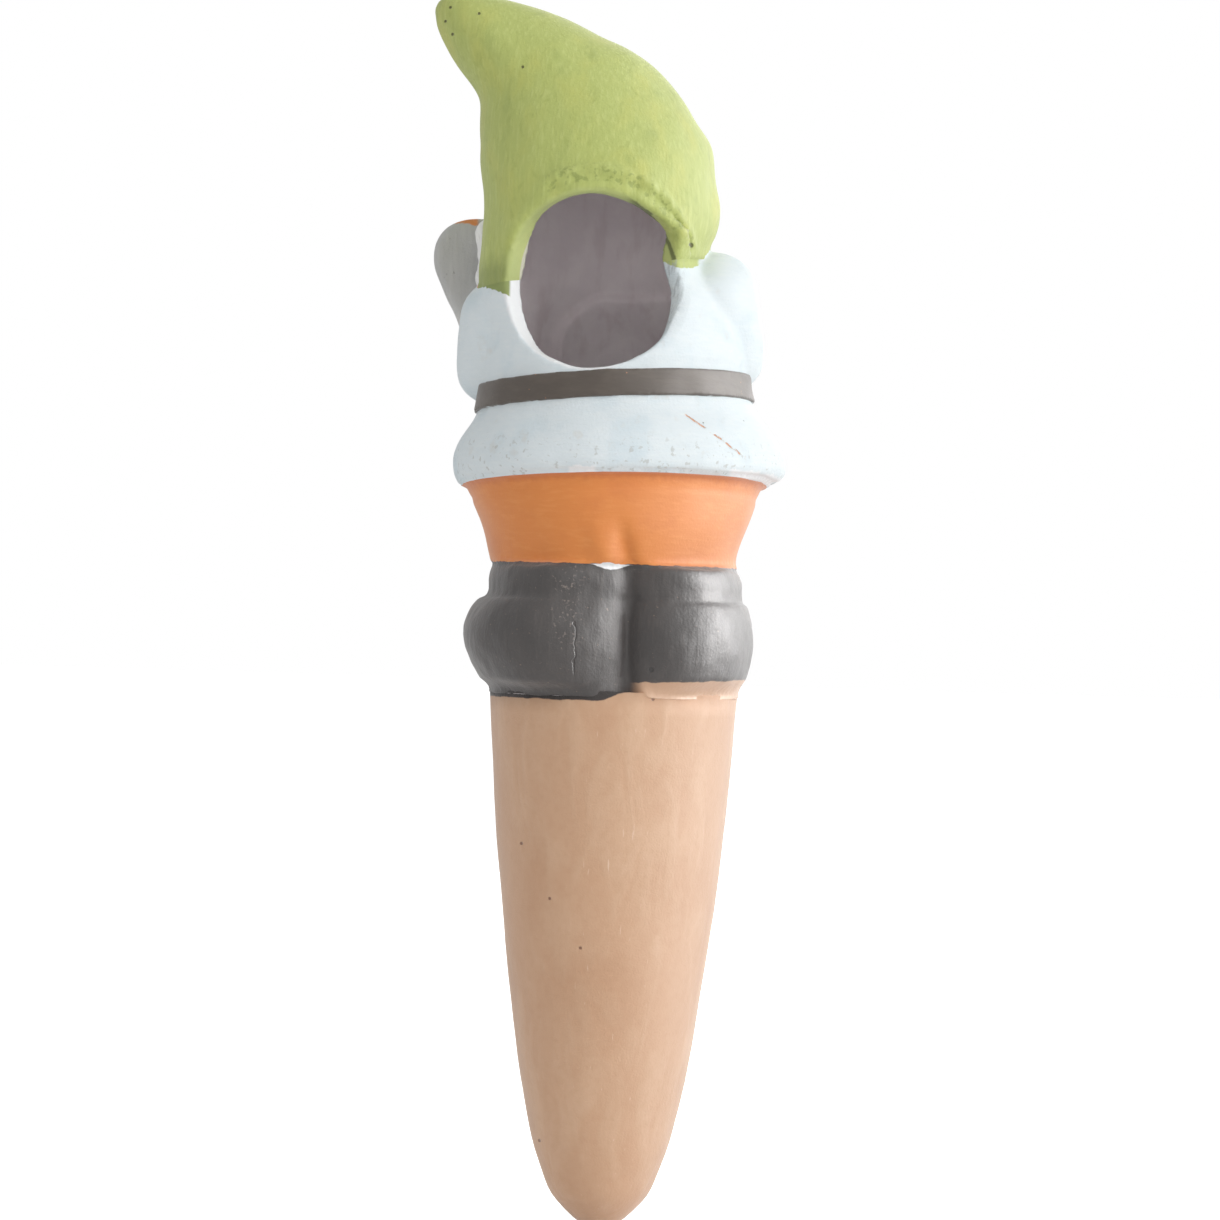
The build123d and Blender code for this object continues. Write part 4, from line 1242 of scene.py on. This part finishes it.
for side, sign in (("left", 1), ("right", -1)):
    brow = wet(rolled([
        ((MIDDLE + sign * 2.9, -18.1, 84.1), 1.0), ((MIDDLE + sign * 5.6, -17.7, 84.8), 1.25),
        ((MIDDLE + sign * 8.4, -16.2, 83.7), 0.8),
    ]), 0.25, 3)
    keep_out(brow, (0, -1, 0))
    combed(brow, (MIDDLE, 0, 70), 1.2, 0.18)
    fire(side + "_eyebrow_clay", brow, [hair_paint], [side + "_eyebrow"])

locks = {
    "left": [
        [((23.3, -8.3, 78.5), 2.9), ((23.2, -9.7, 70.5), 2.8), ((22.2, -11.2, 68.4), 1.6)],
        [((21.4, -11.5, 77), 2.0), ((20.9, -12.6, 70), 1.7)],
    ],
    "right": [
        [((-11.5, -9, 78.8), 2.9), ((-10.5, -10.1, 71.3), 2.8), ((-10.2, -11.4, 69.4), 1.6)],
        [((-10.6, -12, 77.4), 2.0), ((-9.6, -13, 70.6), 1.7)],
    ],
}
for side, coils in locks.items():
    lock = wet(rolled(*coils), 0.3, 3)
    keep_out(lock, (1, 0, 0) if side == "left" else (-1, 0, 0))
    combed(lock, (MIDDLE, 0, 130), 1.0, 0.3)
    fire(side + "_hair_clay", lock, [hair_paint], [side + "_hair"])

# %% [markdown]
# ## The spade
# The grey blade stands beside the hat, behind the left shoulder. It keeps the CAD blade's outline, with a
# dished face and a socket for the shaft. Shaft and grip are rolled, because the real ones
# are moulded clay and not turned wood.

# %% Work the spade
blade = wet(clay("spade_blade"), 0.4, 5)


def dish(place, normal):
    if abs(normal.y) < 0.5:
        return 0.0
    across, level = place.x - 25.5, place.z - 72.5
    hollow = -0.7 * bell(math.hypot(across, level * 0.8), 5.5)
    socket = 0.9 * bell(across, 1.8) * step(place.z, 70, 63) if normal.y < 0 else 0
    return hollow + socket


press(blade, dish)
finger_marks(blade, 0.2, 4, 21)
fire("spade_blade_clay", blade, [blade_paint], ["spade_blade"])
shaft = wet(rolled([(grip, 2.2), (blade_foot, 2.2), (blade_foot + along * 2.5, 1.9)]), 0.4, 5)
finger_marks(shaft, 0.25, 5, 22)
fire("spade_shaft_clay", shaft, [shaft_paint], ["spade_shaft"])
handle = wet(rolled([(grip - Vector((3.2, 0, 0)), 2.2), (grip, 2.0), (grip + Vector((3.2, 0, 0)), 2.2)]), 0.35, 5)
fire("spade_grip_clay", handle, [shaft_paint], ["spade_grip"])

# %% [markdown]
# ## The floor
# A pale floor carries the object's soft shadow. It is white to the camera by its own colour, with a part of the
# real light kept, so that the shadow still shows.

# %% Lay the floor
ground = bmesh.new()
bmesh.ops.create_grid(ground, x_segments=2, y_segments=2, size=6)
FLOOR = -92.8
bmesh.ops.translate(ground, verts=ground.verts, vec=(0, 0, FLOOR * MM))
floor_mesh = bpy.data.meshes.new("floor")
ground.to_mesh(floor_mesh)
ground.free()
floor = put("floor", floor_mesh)
paper = bpy.data.materials.new("white_paper")
paper.use_nodes = True
net = paper.node_tree
matt = net.nodes["Principled BSDF"]
matt.inputs["Base Color"].default_value = (0.82, 0.82, 0.82, 1)
matt.inputs["Roughness"].default_value = 0.95
matt.inputs["Emission Color"].default_value = (1, 1, 1, 1)
path = net.nodes.new("ShaderNodeLightPath")
part = net.nodes.new("ShaderNodeMath")
part.operation = "MULTIPLY"
part.inputs[1].default_value = 0.62
net.links.new(path.outputs["Is Camera Ray"], part.inputs[0])
net.links.new(part.outputs[0], matt.inputs["Emission Strength"])
floor_mesh.materials.append(paper)
print("floor at", FLOOR, "mm")
